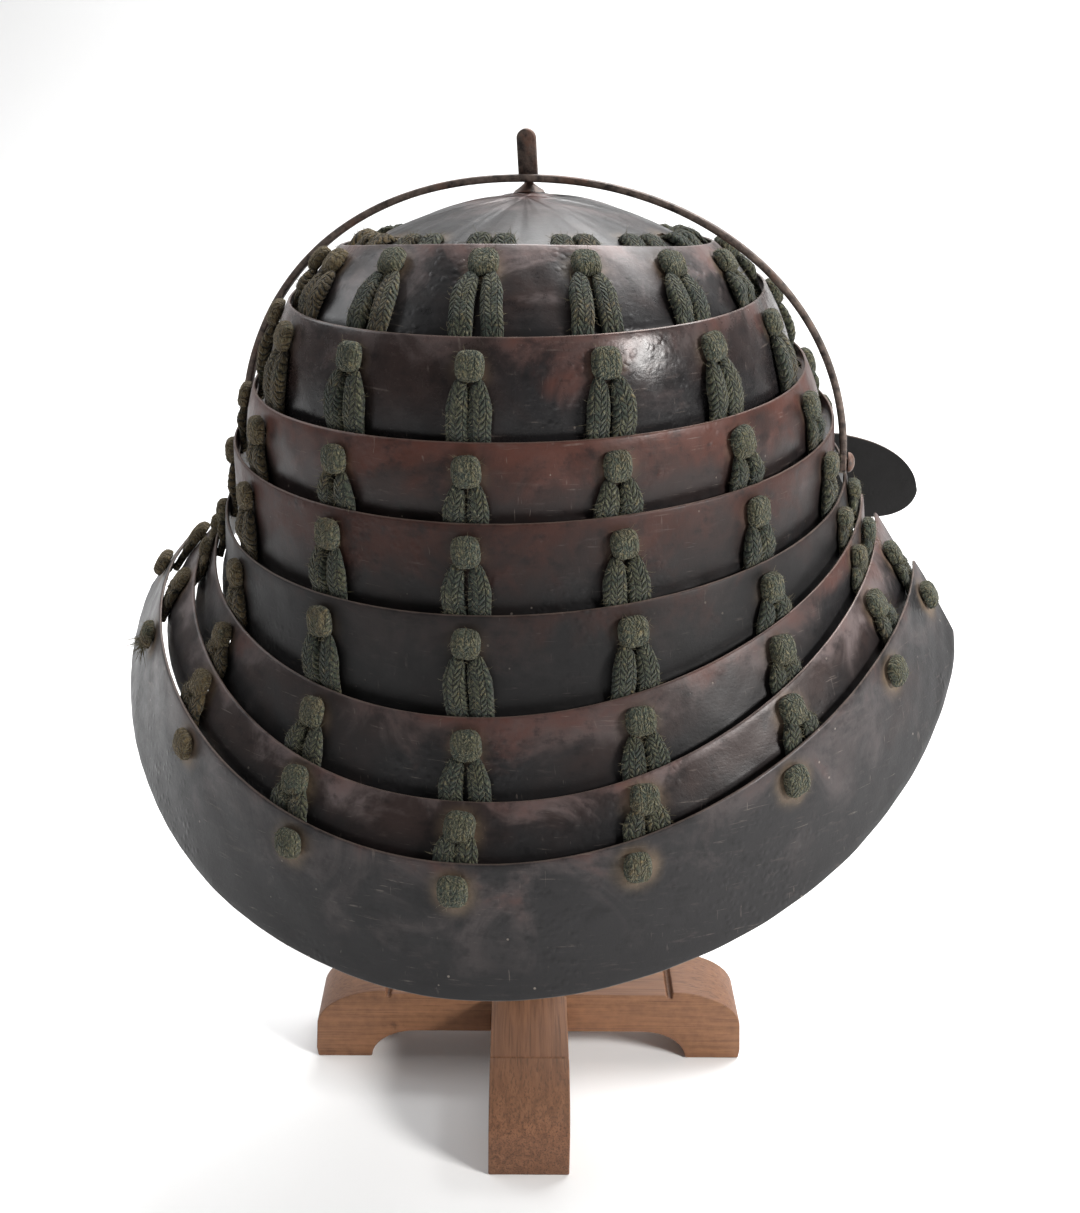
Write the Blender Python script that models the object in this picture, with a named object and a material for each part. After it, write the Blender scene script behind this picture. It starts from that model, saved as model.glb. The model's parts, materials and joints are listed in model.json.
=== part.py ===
"""Folding samurai helmet of laced iron rings, on a crossed wooden stand.

The front of the helmet faces -Y and +Z is up. Sizes are in millimetres and are turned
into metres as each mesh is made. The helmet is drawn upright about its hinge line and
then set on the stand with a slight lean, by an empty that carries all of its pieces.
"""

import math
from collections import namedtuple

import bmesh
import bpy
from mathutils import Matrix, Vector

MM = 0.001

# Clearances
SEAT_GAP = 0.3
CORD_GAP = 0.6

# Iron plates
WALL = 1.2
BOWL_HALF_WIDTH = 106.4
BOWL_HALF_LENGTH = 113.7
BOWL_HEIGHT = 88.0
GUARD_DROP = 118.0
OVERLAP = 7.0
CORD_ROOM = 3.4
CROWN_RISE = 15.0

# Lacing
BACK_STEP_DEG = 25.7
FRONT_STEP_DEG = 23.5
COLUMNS_EACH_SIDE = 3
BACK_COLUMNS = range(-COLUMNS_EACH_SIDE, COLUMNS_EACH_SIDE + 1)
ALL_COLUMNS = range(-COLUMNS_EACH_SIDE, 3 * COLUMNS_EACH_SIDE + 2)
HOLE_DEPTH = 8.5
HOLE_DEPTH_SHARE = 0.46
HOLE_WIDTH = 9.0
HOLE_HEIGHT = 3.4
CROWN_HOLE_INSET = 10.5
NECK_WIDTH = 7.4
NECK_HEIGHT = 2.0
KNOT_WIDTH = 10.0
KNOT_THICKNESS = 5.0
CORD_PAIR_WIDTH = 14.0
CORD_THICKNESS = 2.6
TUCKED_THICKNESS = 1.4
SHORTEST_DROP = 8.5
STRAND_DROP = 12.0
TUCK_LIFT = 0.6

# Turned-back wings of the top lame
WING_BEND_RADIUS = 6.0
WING_REACH = 31.6
WING_SWEEP_DEG = 98.0
WING_TOP = -4.0
WING_BOTTOM = 37.0
WING_DROOP = 7.2
WING_STEPS = 4

# Peak under the front of the brow ring
PEAK_SPREAD_DEG = 59.0
PEAK_REACH = 29.0
PEAK_FALL = 15.0
PEAK_FLANGE = 5.0

# Bail, its hinges and the catch on the crown
HINGE_LEVEL = 2.5
HINGE_COLLAR = 1.5
BAIL_THICKNESS = 2.6
BAIL_DEPTH = 4.4
BAIL_OVER_CROWN = 6.0
BAIL_LEAN_DEG = 7.4
BAIL_SQUARE = 2.12
BAIL_SWAY = 4.0
BAIL_STEPS = 22
EYE_RADIUS = 4.0
EYE_HOLE_RADIUS = 2.0
RIVET_RADIUS = 1.6
RIVET_HEAD_RADIUS = 3.6
RIVET_HEAD_HEIGHT = 2.5
ROUND_SIDES = 16
BOSS_RADIUS = 5.6
BOSS_HEIGHT = 2.2
CATCH_NECK_RADIUS = 1.5
TONGUE_WIDTH = 6.7
TONGUE_THICKNESS = 2.4
TONGUE_HEIGHT = 18.0
TONGUE_OVERLAP = 3.0
POST_OFFSET = 2.0

# Helmet on its stand
HINGE_HEIGHT = 249.0
LEAN_BACK_DEG = 4.0
ROLL_DEG = 2.06

# Stand
STAND_TURN_DEG = 10.6
ARM_HALF_LENGTH = 86.0
ARM_WIDTH = 30.0
ARM_TOP = 30.0
FOOT_TOP = 31.4
FOOT_START = 58.0
GROOVE_WIDTH = 2.5
GROOVE_DEPTH = 1.5
FOOT_LENGTH = 22.0
ARCH_HEIGHT = 12.3
ARCH_RUN = 18.0
ARM_END_HEIGHT = 15.0
POST_RADIUS = 13.0
CAP_RADIUS = 36.0
CAP_EDGE = 9.0
CAP_DOME_RADIUS = 70.0

# Every ring's top edge, from the crown down. Widths and lengths are shares of the bowl's
# half width and half length. A bowl row's level is a share of BOWL_HEIGHT above the
# hinge line, and a lame's of GUARD_DROP below it. The fall from the sides to the back is
# straight, the sag is curved, and both are shares of GUARD_DROP.
RING_COLUMNS = "name width length level fall sag roll_deg square bulge ends_deg fan end_column_deg"
Ring = namedtuple("Ring", RING_COLUMNS)
RINGS = (
    Ring("bowl_ring_1", 0.597, 0.563, 0.909, -0.076, -0.034, 0.0, 2.00, 1.2, None, 1.00, None),
    Ring("bowl_ring_2", 0.761, 0.836, 0.736, -0.059, -0.004, -0.5, 2.14, 1.4, None, 1.00, None),
    Ring("bowl_ring_3", 0.904, 0.936, 0.424, -0.034, -0.017, 0.0, 2.05, 0.8, None, 1.00, None),
    Ring("brow_ring", 1.000, 1.000, 0.208, 0.000, -0.018, 0.0, 1.95, 0.0, None, 1.00, None),
    Ring("neck_lame_1", 1.046, 1.066, -0.030, 0.030, -0.008, 0.7, 2.00, 0.0, (-22.0, -22.0), 1.00, 88.0),
    Ring("neck_lame_2", 1.102, 1.143, -0.115, 0.085, 0.105, 1.7, 2.00, 0.0, (-1.0, -1.0), 0.98, 84.0),
    Ring("neck_lame_3", 1.152, 1.240, -0.190, 0.018, 0.290, 0.8, 2.15, 0.0, (-4.0, -3.0), 0.94, 86.0),
    Ring("neck_lame_4", 1.283, 1.346, -0.280, 0.020, 0.320, 0.0, 2.06, 0.0, (0.5, 2.5), 0.87, 84.5),
)
RIM = Ring("rim", 1.448, 1.407, -0.466, 0.576, -0.039, -1.0, 1.92, 0.0, None, 1.00, None)
BOWL_COUNT = 4
LAME_FRONT = math.sin(math.radians(-24.0))


def clear_scene():
    """Remove the objects that a new file starts with."""
    for thing in list(bpy.data.objects):
        bpy.data.objects.remove(thing, do_unlink=True)


def make_material(name, colour, roughness, metallic):
    """A plain Principled material."""
    material = bpy.data.materials.new(name)
    material.use_nodes = True
    shader = material.node_tree.nodes["Principled BSDF"]
    shader.inputs["Base Color"].default_value = (*colour, 1.0)
    shader.inputs["Roughness"].default_value = roughness
    shader.inputs["Metallic"].default_value = metallic
    return material


def add_object(name, bm, material, parent=None):
    """Turn a bmesh in millimetres into a named object in metres."""
    bmesh.ops.recalc_face_normals(bm, faces=bm.faces)
    bm.transform(Matrix.Scale(MM, 4))
    mesh = bpy.data.meshes.new(name)
    bm.to_mesh(mesh)
    bm.free()
    mesh.materials.append(material)
    thing = bpy.data.objects.new(name, mesh)
    bpy.context.collection.objects.link(thing)
    thing.parent = parent
    return thing


def boolean(thing, cutter, operation):
    """Join or cut with another object, which is then only a hidden tool."""
    modifier = thing.modifiers.new(operation.lower(), "BOOLEAN")
    modifier.operation = operation
    modifier.solver = "EXACT"
    modifier.object = cutter
    cutter.hide_render = True
    cutter.display_type = "WIRE"


def spread(start, end, count):
    """Evenly spaced values from start to end, both included."""
    return [start + (end - start) * i / (count - 1) for i in range(count)]


def power(value, exponent):
    """A power that keeps the sign of its value."""
    return math.copysign(abs(value) ** exponent, value)


# Shape of the plates


def level_of(ring):
    """Height of a ring's top edge at its sides, above the brow level."""
    return ring.level * (BOWL_HEIGHT if ring.level > 0 else GUARD_DROP)


def edge_point(ring, angle):
    """A point of a ring's top edge, at an angle from +X that reaches the back at 90."""
    turn = math.radians(angle)
    x = ring.width * BOWL_HALF_WIDTH * power(math.cos(turn), 2 / ring.square)
    back = power(math.sin(turn), 2 / ring.square)
    y = ring.length * BOWL_HALF_LENGTH * back
    drop = ring.fall * back + ring.sag * max(back, 0.0) ** 2
    point = Vector((x, y, level_of(ring) - drop * GUARD_DROP))
    return Matrix.Rotation(math.radians(ring.roll_deg), 3, "Y") @ point


def edge_outward(ring, angle):
    """The level direction that points out of a ring at an angle."""
    before = edge_point(ring, angle - 0.5)
    after = edge_point(ring, angle + 0.5)
    along = after - before
    return Vector((along.y, -along.x, 0.0)).normalized()


def tuck_point(index, angle, rounds=2):
    """Where plate number index passes behind the top edge of the plate below it.

    The lower plate's own slope depends on where it is tucked in turn, so a second round
    starts from where the first one puts that.
    """
    if index + 1 == len(RINGS):
        return edge_point(RIM, angle)
    below = RINGS[index + 1]
    after = RINGS[index + 2] if index + 2 < len(RINGS) else RIM
    foot = tuck_point(index + 1, angle, rounds - 1) if rounds > 1 else edge_point(after, angle)
    top = edge_point(below, angle)
    along = edge_point(below, angle + 0.5) - edge_point(below, angle - 0.5)
    normal = (foot - top).cross(along).normalized()
    return top - normal * (WALL + CORD_ROOM)


def plate_run(index, angle):
    """The line down a plate's face, from its top edge to where the next plate hides it."""
    return tuck_point(index, angle) - edge_point(RINGS[index], angle)


def plate_height(index, angle):
    """Height of a plate along its face, with the part that the next plate hides."""
    run = plate_run(index, angle).length
    return run if index + 1 == len(RINGS) else run + OVERLAP


def plate_point(index, angle, depth):
    """A point of a plate's outer face, at a depth below its top edge.

    Behind the next plate the face turns to run beside it.
    """
    ring = RINGS[index]
    run = plate_run(index, angle)
    share = min(depth / run.length, 1.0) if index + 1 < len(RINGS) else depth / run.length
    swell = ring.bulge * math.sin(math.pi * min(max(share, 0.0), 1.0))
    point = edge_point(ring, angle) + run * share + edge_outward(ring, angle) * swell
    hidden = depth - run.length
    if hidden > 0.0 and index + 1 < len(RINGS):
        below = RINGS[index + 1]
        covered = below.ends_deg is None or math.sin(math.radians(angle)) > LAME_FRONT
        way = plate_run(index + 1, angle) if covered else run
        point += way.normalized() * hidden
    return point


def crown_rim(angle):
    """Where the crown passes behind the top edge of the first ring."""
    return tuck_point(-1, angle)


def crown_apex():
    """Height of the crown's apex."""
    return BOWL_HEIGHT * RINGS[0].level + CROWN_RISE


def crown_point(angle, depth):
    """A point of the crown's outer face, at a depth from the apex outwards."""
    rim = crown_rim(angle)
    reach = math.hypot(rim.x, rim.y)
    apex = crown_apex()
    share = min(depth / reach, 1.0)
    point = Vector((rim.x * share, rim.y * share, apex - (apex - rim.z) * share**2))
    if depth > reach:
        point += plate_run(0, angle).normalized() * (depth - reach)
    return point


def crown_reach(angle):
    """Distance from the apex to the crown's rim, seen from above."""
    rim = crown_rim(angle)
    return math.hypot(rim.x, rim.y)


def face_frame(surface, angle, depth):
    """Point, outward normal, way down and way round of a face at a place."""
    point = surface(angle, depth)
    down = (surface(angle, depth + 0.2) - surface(angle, depth - 0.2)).normalized()
    round_way = (surface(angle + 0.2, depth) - surface(angle - 0.2, depth)).normalized()
    normal = round_way.cross(down).normalized()
    if normal.dot(Vector((point.x, point.y, 0.0)).normalized() + Vector((0, 0, 0.2))) < 0:
        normal = -normal
    return point, normal, down, round_way


def plate_surface(index):
    """The outer face of plate number index as a function of angle and depth."""
    if index < 0:
        return crown_point
    return lambda angle, depth: plate_point(index, angle, depth)


# Lacing columns


def column_angle(index, column):
    """Angle of a numbered lacing column on a plate, with number 0 at the back."""
    if column > COLUMNS_EACH_SIDE:
        return 270.0 + (column - 2 * COLUMNS_EACH_SIDE - 1) * FRONT_STEP_DEG
    fan = 1.0 if index < 0 else RINGS[index].fan
    return 90.0 + column * BACK_STEP_DEG * fan


def plate_columns(index):
    """Angles of all the lacing columns that pass through a plate."""
    if index < BOWL_COUNT:
        return [column_angle(index, column) for column in ALL_COLUMNS]
    end = RINGS[index].end_column_deg
    return [90.0 - end] + [column_angle(index, i) for i in BACK_COLUMNS] + [90.0 + end]


def hole_depth(index, angle):
    """Depth of the middle of a lacing hole on a plate."""
    if index < 0:
        return crown_reach(angle) - CROWN_HOLE_INSET
    return min(HOLE_DEPTH, HOLE_DEPTH_SHARE * plate_run(index, angle).length)


def degrees_per_mm(surface, angle, depth):
    """How far an angle turns for a millimetre round a face."""
    return 1.0 / (surface(angle + 0.5, depth) - surface(angle - 0.5, depth)).length


# Plates


def stations_of(index):
    """Angles of a plate's grid lines, and which cells between them hold a hole."""
    surface = plate_surface(index)
    stations, holes = [], []
    columns = plate_columns(index)
    closed = index < BOWL_COUNT
    for number, angle in enumerate(columns):
        half = HOLE_WIDTH / 2 * degrees_per_mm(surface, angle, hole_depth(index, angle))
        holes.append(len(stations))
        stations += [angle - half, angle + half]
        if closed or number + 1 < len(columns):
            following = columns[(number + 1) % len(columns)]
            following += 360.0 if following < angle else 0.0
            if index > 1:
                stations.append((angle + following) / 2)
    if not closed:
        holes = [place + 1 for place in holes]
        start = RINGS[index].ends_deg[0]
        stations = [start, *stations, 180.0 - start]
    return stations, holes


def add_sheet(bm, columns, holes, hole_row, closed, wall_cap=None):
    """Close a thin plate from its columns of outer and inner points.

    holes lists the cells left open in row hole_row. A closed plate runs all the way
    round. wall_cap gives the outer and inner apex points of a plate with no top edge.
    """
    outer = [[bm.verts.new(pair[0]) for pair in column] for column in columns]
    inner = [[bm.verts.new(pair[1]) for pair in column] for column in columns]
    count, rows = len(columns), len(columns[0])
    for i in range(count if closed else count - 1):
        j = (i + 1) % count
        for r in range(rows - 1):
            ring = ((i, r), (j, r), (j, r + 1), (i, r + 1))
            if i in holes and r == hole_row:
                for (a, p), (b, q) in zip(ring, ring[1:] + ring[:1]):
                    bm.faces.new((outer[a][p], outer[b][q], inner[b][q], inner[a][p]))
                continue
            bm.faces.new([outer[a][p] for a, p in ring])
            bm.faces.new([inner[a][p] for a, p in reversed(ring)])
        bm.faces.new((outer[i][-1], outer[j][-1], inner[j][-1], inner[i][-1]))
        if wall_cap is None:
            bm.faces.new((outer[j][0], outer[i][0], inner[i][0], inner[j][0]))
    if wall_cap is not None:
        for grid, apex in zip((outer, inner), wall_cap):
            tip = bm.verts.new(apex)
            for i in range(count):
                bm.faces.new((grid[i][0], grid[(i + 1) % count][0], tip))
    if not closed:
        for i in (0, count - 1):
            for r in range(rows - 1):
                bm.faces.new((outer[i][r], outer[i][r + 1], inner[i][r + 1], inner[i][r]))


def wall_pair(surface, angle, depth):
    """Outer and inner point of a plate's wall at a place."""
    point, normal, _, _ = face_frame(surface, angle, depth)
    return point, point - normal * WALL


def plate_column(index, angle, depths):
    """One column of a plate's wall points, at depths below its top edge."""
    surface = plate_surface(index)
    return [wall_pair(surface, angle, depth) for depth in depths]


def row_depths(index, angle):
    """Depths of a plate's rows: top edge, both sides of the holes, turn and bottom edge."""
    hole = hole_depth(index, angle)
    depths = [0.0, hole - HOLE_HEIGHT / 2, hole + HOLE_HEIGHT / 2]
    depths.append(plate_run(index, angle).length)
    if index + 1 < len(RINGS):
        depths.append(depths[-1] + OVERLAP)
    return depths


def wing_columns(index, side):
    """Columns of the turned-back wing, from the lame's end to the wing's tip."""
    ring = RINGS[index]
    start_angle = ring.ends_deg[0]
    angle = start_angle if side > 0 else 180.0 - start_angle
    top = edge_point(ring, angle)
    before = edge_point(ring, angle + side * 1.0)
    heading = math.atan2(top.y - before.y, top.x - before.x)
    depths = row_depths(index, angle)
    height = depths[-1]
    leans = [plate_point(index, angle, depth) - top for depth in depths]
    sweep = math.radians(WING_SWEEP_DEG)
    place = Vector((top.x, top.y, 0.0))
    columns = []
    for step in range(1, 2 * WING_STEPS + 1):
        if step <= WING_STEPS:
            heading += side * sweep / WING_STEPS
            stride = WING_BEND_RADIUS * sweep / WING_STEPS
        else:
            stride = WING_REACH / WING_STEPS
        place = place + Vector((math.cos(heading), math.sin(heading), 0.0)) * stride
        lobe = min(step / WING_STEPS, 1.0)
        tip = max(step - WING_STEPS, 0) / (WING_STEPS + 0.06)
        roundness = math.sqrt(1.0 - tip**2.6)
        high = top.z + WING_TOP * lobe
        low = top.z - height - (WING_BOTTOM - height) * lobe
        middle = (high + low) / 2 - WING_DROOP * tip
        half = (high - low) / 2 * roundness
        outward = Vector((-math.sin(heading), math.cos(heading), 0.0)) * side
        column = []
        for depth, lean in zip(depths, leans):
            point = Vector((place.x, place.y, middle + half - 2 * half * depth / height))
            point += Vector((lean.x, lean.y, 0.0)) * (1.0 - 0.8 * lobe)
            column.append((point, point - outward * WALL))
        columns.append(column)
    return columns


def build_plate(index, material, seat):
    """One ring of the bowl or one lame of the neck guard."""
    ring = RINGS[index]
    stations, holes = stations_of(index)
    columns = []
    for number, angle in enumerate(stations):
        depths = row_depths(index, angle)
        if ring.ends_deg and number in (0, len(stations) - 1):
            columns.append(end_column(index, number == 0, depths))
        else:
            columns.append(plate_column(index, angle, depths))
    if ring.name == "neck_lame_1":
        right = wing_columns(index, 1)
        left = wing_columns(index, -1)
        columns = right[::-1] + columns + left
        holes = [place + len(right) for place in holes]
    bm = bmesh.new()
    add_sheet(bm, columns, holes, 1, closed=ring.ends_deg is None)
    return add_object(ring.name, bm, material, seat)


def end_column(index, first, depths):
    """The free end of a lame, whose edge slants from its top angle to its bottom one."""
    top, bottom = RINGS[index].ends_deg
    surface = plate_surface(index)
    column = []
    for depth in depths:
        angle = top + (bottom - top) * depth / depths[-1]
        column.append(wall_pair(surface, angle if first else 180.0 - angle, depth))
    return column


def build_crown(material, seat):
    """The shallow dome, with its rim turned down behind the first ring."""
    stations, holes = stations_of(-1)
    columns = []
    for angle in stations:
        reach = crown_reach(angle)
        hole = reach - CROWN_HOLE_INSET
        depths = [
            hole / 2,
            hole - HOLE_HEIGHT / 2,
            hole + HOLE_HEIGHT / 2,
            reach,
            reach + OVERLAP,
        ]
        columns.append([wall_pair(crown_point, angle, depth) for depth in depths])
    apex = crown_point(0.0, 0.0)
    bm = bmesh.new()
    add_sheet(bm, columns, holes, 1, True, (apex, apex - Vector((0, 0, WALL))))
    return add_object("crown_plate", bm, material, seat)


def build_peak(material, seat):
    """The small front peak, riveted on by its flange under the brow ring's knots."""
    brow = BOWL_COUNT - 1
    surface = plate_surface(brow)
    columns = []
    for angle in stations_of(brow)[0]:
        off_centre = (angle - 270.0) / PEAK_SPREAD_DEG
        if abs(off_centre) > 1.0:
            continue
        run, height = row_depths(brow, angle)[-2:]
        column = []
        for depth in (run - PEAK_FLANGE, run, height):
            foot, normal, down, _ = face_frame(surface, angle, depth)
            column.append((foot + normal * (SEAT_GAP + WALL), foot + normal * SEAT_GAP))
        share = 0.12 + 0.88 * math.sqrt(1.0 - off_centre**2)
        reach = (normal * PEAK_REACH + down * PEAK_FALL) * share
        brim_up = reach.cross(normal.cross(down)).normalized() * WALL
        brim_up *= math.copysign(1.0, brim_up.z)
        root, inner = column[-1]
        column[-1] = (root, inner + down * WALL)
        column.append((root + reach, root + reach - brim_up))
        columns.append(column)
    bm = bmesh.new()
    add_sheet(bm, columns, [], 0, closed=False)
    return add_object("peak", bm, material, seat)


# Cords


def cord_section(centre, way, round_way, width, thickness):
    """Four corners of a flat cord pair that runs along a way."""
    across = round_way.cross(way).normalized() * thickness / 2
    side = round_way * width / 2
    return [centre + side + across, centre - side + across, centre - side - across, centre + side - across]


def plate_passage(index, angle, is_first, is_last, drop):
    """Cord sections from a plate's hole to the tuck behind the next plate."""
    surface = plate_surface(index)
    depth = hole_depth(index, angle)
    hole, normal, down, side = face_frame(surface, angle, depth)
    inside = hole - normal * (WALL + (1.5 if is_first else CORD_GAP))
    outside = hole + normal * CORD_GAP
    sections = [
        cord_section(inside, normal, side, NECK_WIDTH, NECK_HEIGHT),
        cord_section(outside, normal, side, NECK_WIDTH, NECK_HEIGHT),
    ]
    plain = index < 0 or drop < SHORTEST_DROP and not is_last
    if not plain:
        bend = (normal + down).normalized()
        lift = SEAT_GAP + 0.1 + KNOT_THICKNESS / 2 * math.sqrt(0.5)
        knot = hole + normal * lift + down * 0.6
        sections.append(cord_section(knot, bend, side, KNOT_WIDTH, KNOT_THICKNESS))
    if is_last:
        tail = hole + down * 4.6 + normal * (SEAT_GAP + KNOT_THICKNESS * 0.3)
        sections.append(cord_section(tail, down, side, KNOT_WIDTH - 1.0, KNOT_THICKNESS * 0.6))
        return sections
    if drop >= STRAND_DROP:
        start_depth = depth + (4.0 if plain else 6.6)
        start, normal, down, side = face_frame(surface, angle, start_depth)
        start += normal * (SEAT_GAP + 0.1 + CORD_THICKNESS / 2)
        sections.append(cord_section(start, down, side, CORD_PAIR_WIDTH, CORD_THICKNESS))
    tuck, normal, down, _ = face_frame(surface, angle, depth + drop)
    side = (tuck_point(index, angle + 0.5) - tuck_point(index, angle - 0.5)).normalized()
    tuck += normal * (TUCK_LIFT + TUCKED_THICKNESS / 2)
    sections.append(cord_section(tuck, down, side, CORD_PAIR_WIDTH, TUCKED_THICKNESS))
    return sections


def arrival(index, angle):
    """The last section of a cord before it turns out through a plate's hole."""
    depth = hole_depth(index, angle)
    hole, normal, down, side = face_frame(plate_surface(index), angle, depth)
    inside = hole - normal * (WALL + CORD_ROOM - TUCK_LIFT - TUCKED_THICKNESS / 2)
    inside -= down * (NECK_HEIGHT / 2 + 0.8)
    return cord_section(inside, down, side, NECK_WIDTH, TUCKED_THICKNESS)


def drop_to_next(index, angle):
    """Distance from a plate's hole down to the next plate's top edge."""
    if index < 0:
        return CROWN_HOLE_INSET
    return plate_run(index, angle).length - hole_depth(index, angle)


def build_lacing(name, stops, material, seat):
    """One column of cord through the holes of its plates, from the top one down."""
    sections = []
    last = len(stops) - 1
    for number, (index, angle) in enumerate(stops):
        drop = drop_to_next(index, angle) if number < last else 0.0
        if number:
            sections.append(arrival(index, angle))
        sections += plate_passage(index, angle, number == 0, number == last, drop)
    bm = bmesh.new()
    rings = [[bm.verts.new(corner) for corner in section] for section in sections]
    for upper, lower in zip(rings, rings[1:]):
        for i in range(4):
            j = (i + 1) % 4
            bm.faces.new((upper[i], upper[j], lower[j], lower[i]))
    bm.faces.new(rings[0])
    bm.faces.new(reversed(rings[-1]))
    return add_object(name, bm, material, seat)


def lacing_stops():
    """Every lacing column as its plates and the angle that it has on each."""
    columns = []
    for column in ALL_COLUMNS:
        lowest = len(RINGS) if column in BACK_COLUMNS else BOWL_COUNT
        columns.append([(index, column_angle(index, column)) for index in range(-1, lowest)])
    for side in (-1, 1):
        guard = range(BOWL_COUNT, len(RINGS))
        columns.append([(index, 90.0 + side * RINGS[index].end_column_deg) for index in guard])
    return columns


# Bail, hinges and catch


def add_lathe(bm, profile, axis_point, axis, sides):
    """Turn a profile of (distance along, radius) pairs round an axis."""
    axis = axis.normalized()
    across = axis.orthogonal().normalized()
    loops = []
    for along, radius in profile:
        centre = axis_point + axis * along
        if radius == 0.0:
            loops.append([bm.verts.new(centre)])
            continue
        loop = []
        for i in range(sides):
            spin = Matrix.Rotation(math.tau * i / sides, 3, axis)
            loop.append(bm.verts.new(centre + spin @ across * radius))
        loops.append(loop)
    for upper, lower in zip(loops, loops[1:]):
        for i in range(sides):
            j = (i + 1) % sides
            corners = [upper[i % len(upper)], upper[j % len(upper)]]
            corners += [lower[j % len(lower)], lower[i % len(lower)]]
            bm.faces.new(list(dict.fromkeys(corners)))
    for loop in (loops[0], loops[-1]):
        if len(loop) > 1:
            bm.faces.new(loop)


def hinge_face():
    """Half width of the brow ring's outer face at the hinges."""
    brow = BOWL_COUNT - 1
    depth = level_of(RINGS[brow]) - HINGE_LEVEL
    return plate_point(brow, 0.0, depth).x


def bail_inner_face():
    """Half width between the bail's feet."""
    return hinge_face() + SEAT_GAP + HINGE_COLLAR + SEAT_GAP


def bail_top():
    """Height of the bail's crest when it is upright."""
    return crown_apex() + BAIL_OVER_CROWN


def bail_lean():
    """Turn of the bail from upright to the catch, about the hinge line."""
    return Matrix.Rotation(math.radians(BAIL_LEAN_DEG), 3, "X")


def bail_point(turn):
    """Middle of the upright arch, which is a little square and bent to one side."""
    half_width = bail_inner_face() + BAIL_THICKNESS / 2
    height = bail_top() - HINGE_LEVEL - BAIL_THICKNESS / 2
    across = power(math.cos(turn), 2 / BAIL_SQUARE)
    upward = power(math.sin(turn), 2 / BAIL_SQUARE)
    return Vector((half_width * across + BAIL_SWAY * math.sin(turn) ** 2, 0.0, height * upward))


def build_bail(material, seat):
    """The arch, with a round eye at each foot. Its origin is on the hinge line."""
    bm = bmesh.new()
    loops = []
    for turn in spread(0.0, math.pi, BAIL_STEPS):
        centre = bail_point(turn)
        way = bail_point(turn + 0.01) - bail_point(turn - 0.01)
        depth = Vector((0.0, BAIL_DEPTH / 2, 0.0))
        out = Vector((way.z, 0.0, -way.x)).normalized() * BAIL_THICKNESS / 2
        corners = (centre + out + depth, centre + out - depth, centre - out - depth, centre - out + depth)
        loops.append([bm.verts.new(corner) for corner in corners])
    for upper, lower in zip(loops, loops[1:]):
        for i in range(4):
            j = (i + 1) % 4
            bm.faces.new((upper[i], upper[j], lower[j], lower[i]))
    bm.faces.new(loops[0])
    bm.faces.new(reversed(loops[-1]))
    bail = add_object("bail", bm, material, seat)
    bail.location = Vector((0.0, 0.0, HINGE_LEVEL)) * MM
    bail.rotation_euler.x = math.radians(BAIL_LEAN_DEG)

    eyes = bmesh.new()
    holes = bmesh.new()
    for side in (-1, 1):
        eye_start = Vector((side * (bail_inner_face() + 0.1), 0.0, 0.0))
        way = Vector((side, 0.0, 0.0))
        thickness = BAIL_THICKNESS - 0.2
        add_lathe(eyes, [(0.0, EYE_RADIUS), (thickness, EYE_RADIUS)], eye_start, way, ROUND_SIDES)
        hole = [(-BAIL_THICKNESS, EYE_HOLE_RADIUS), (2 * BAIL_THICKNESS, EYE_HOLE_RADIUS)]
        add_lathe(holes, hole, eye_start, way, ROUND_SIDES)
    eye_tool = add_object("eye_tool", eyes, material, bail)
    hole_tool = add_object("eye_hole_tool", holes, material, bail)
    boolean(bail, eye_tool, "UNION")
    boolean(bail, hole_tool, "DIFFERENCE")
    return bail


def build_rivet(name, side, material, seat):
    """A hinge rivet through the brow ring, with a collar, and a domed head outside."""
    face = hinge_face()
    collar = face + SEAT_GAP
    bail_out = bail_inner_face() + BAIL_THICKNESS
    head = bail_out + SEAT_GAP
    profile = [
        (face - 2 * WALL, RIVET_RADIUS),
        (collar, RIVET_RADIUS),
        (collar, RIVET_HEAD_RADIUS - 0.4),
        (collar + HINGE_COLLAR, RIVET_HEAD_RADIUS - 0.4),
        (collar + HINGE_COLLAR, RIVET_RADIUS),
        (head, RIVET_RADIUS),
        (head, RIVET_HEAD_RADIUS),
        (head + RIVET_HEAD_HEIGHT * 0.7, RIVET_HEAD_RADIUS * 0.7),
        (head + RIVET_HEAD_HEIGHT, 0.0),
    ]
    bm = bmesh.new()
    add_lathe(bm, profile, Vector((0.0, 0.0, HINGE_LEVEL)), Vector((side, 0.0, 0.0)), 10)
    return add_object(name, bm, material, seat)


def drill_brow(brow, material, seat):
    """Holes for the hinge rivets in the brow ring."""
    bm = bmesh.new()
    reach = hinge_face() + 4 * WALL
    for side in (-1, 1):
        profile = [(reach - 10 * WALL, EYE_HOLE_RADIUS), (reach, EYE_HOLE_RADIUS)]
        add_lathe(bm, profile, Vector((0.0, 0.0, HINGE_LEVEL)), Vector((side, 0.0, 0.0)), ROUND_SIDES)
    boolean(brow, add_object("rivet_hole_tool", bm, material, seat), "DIFFERENCE")


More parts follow.
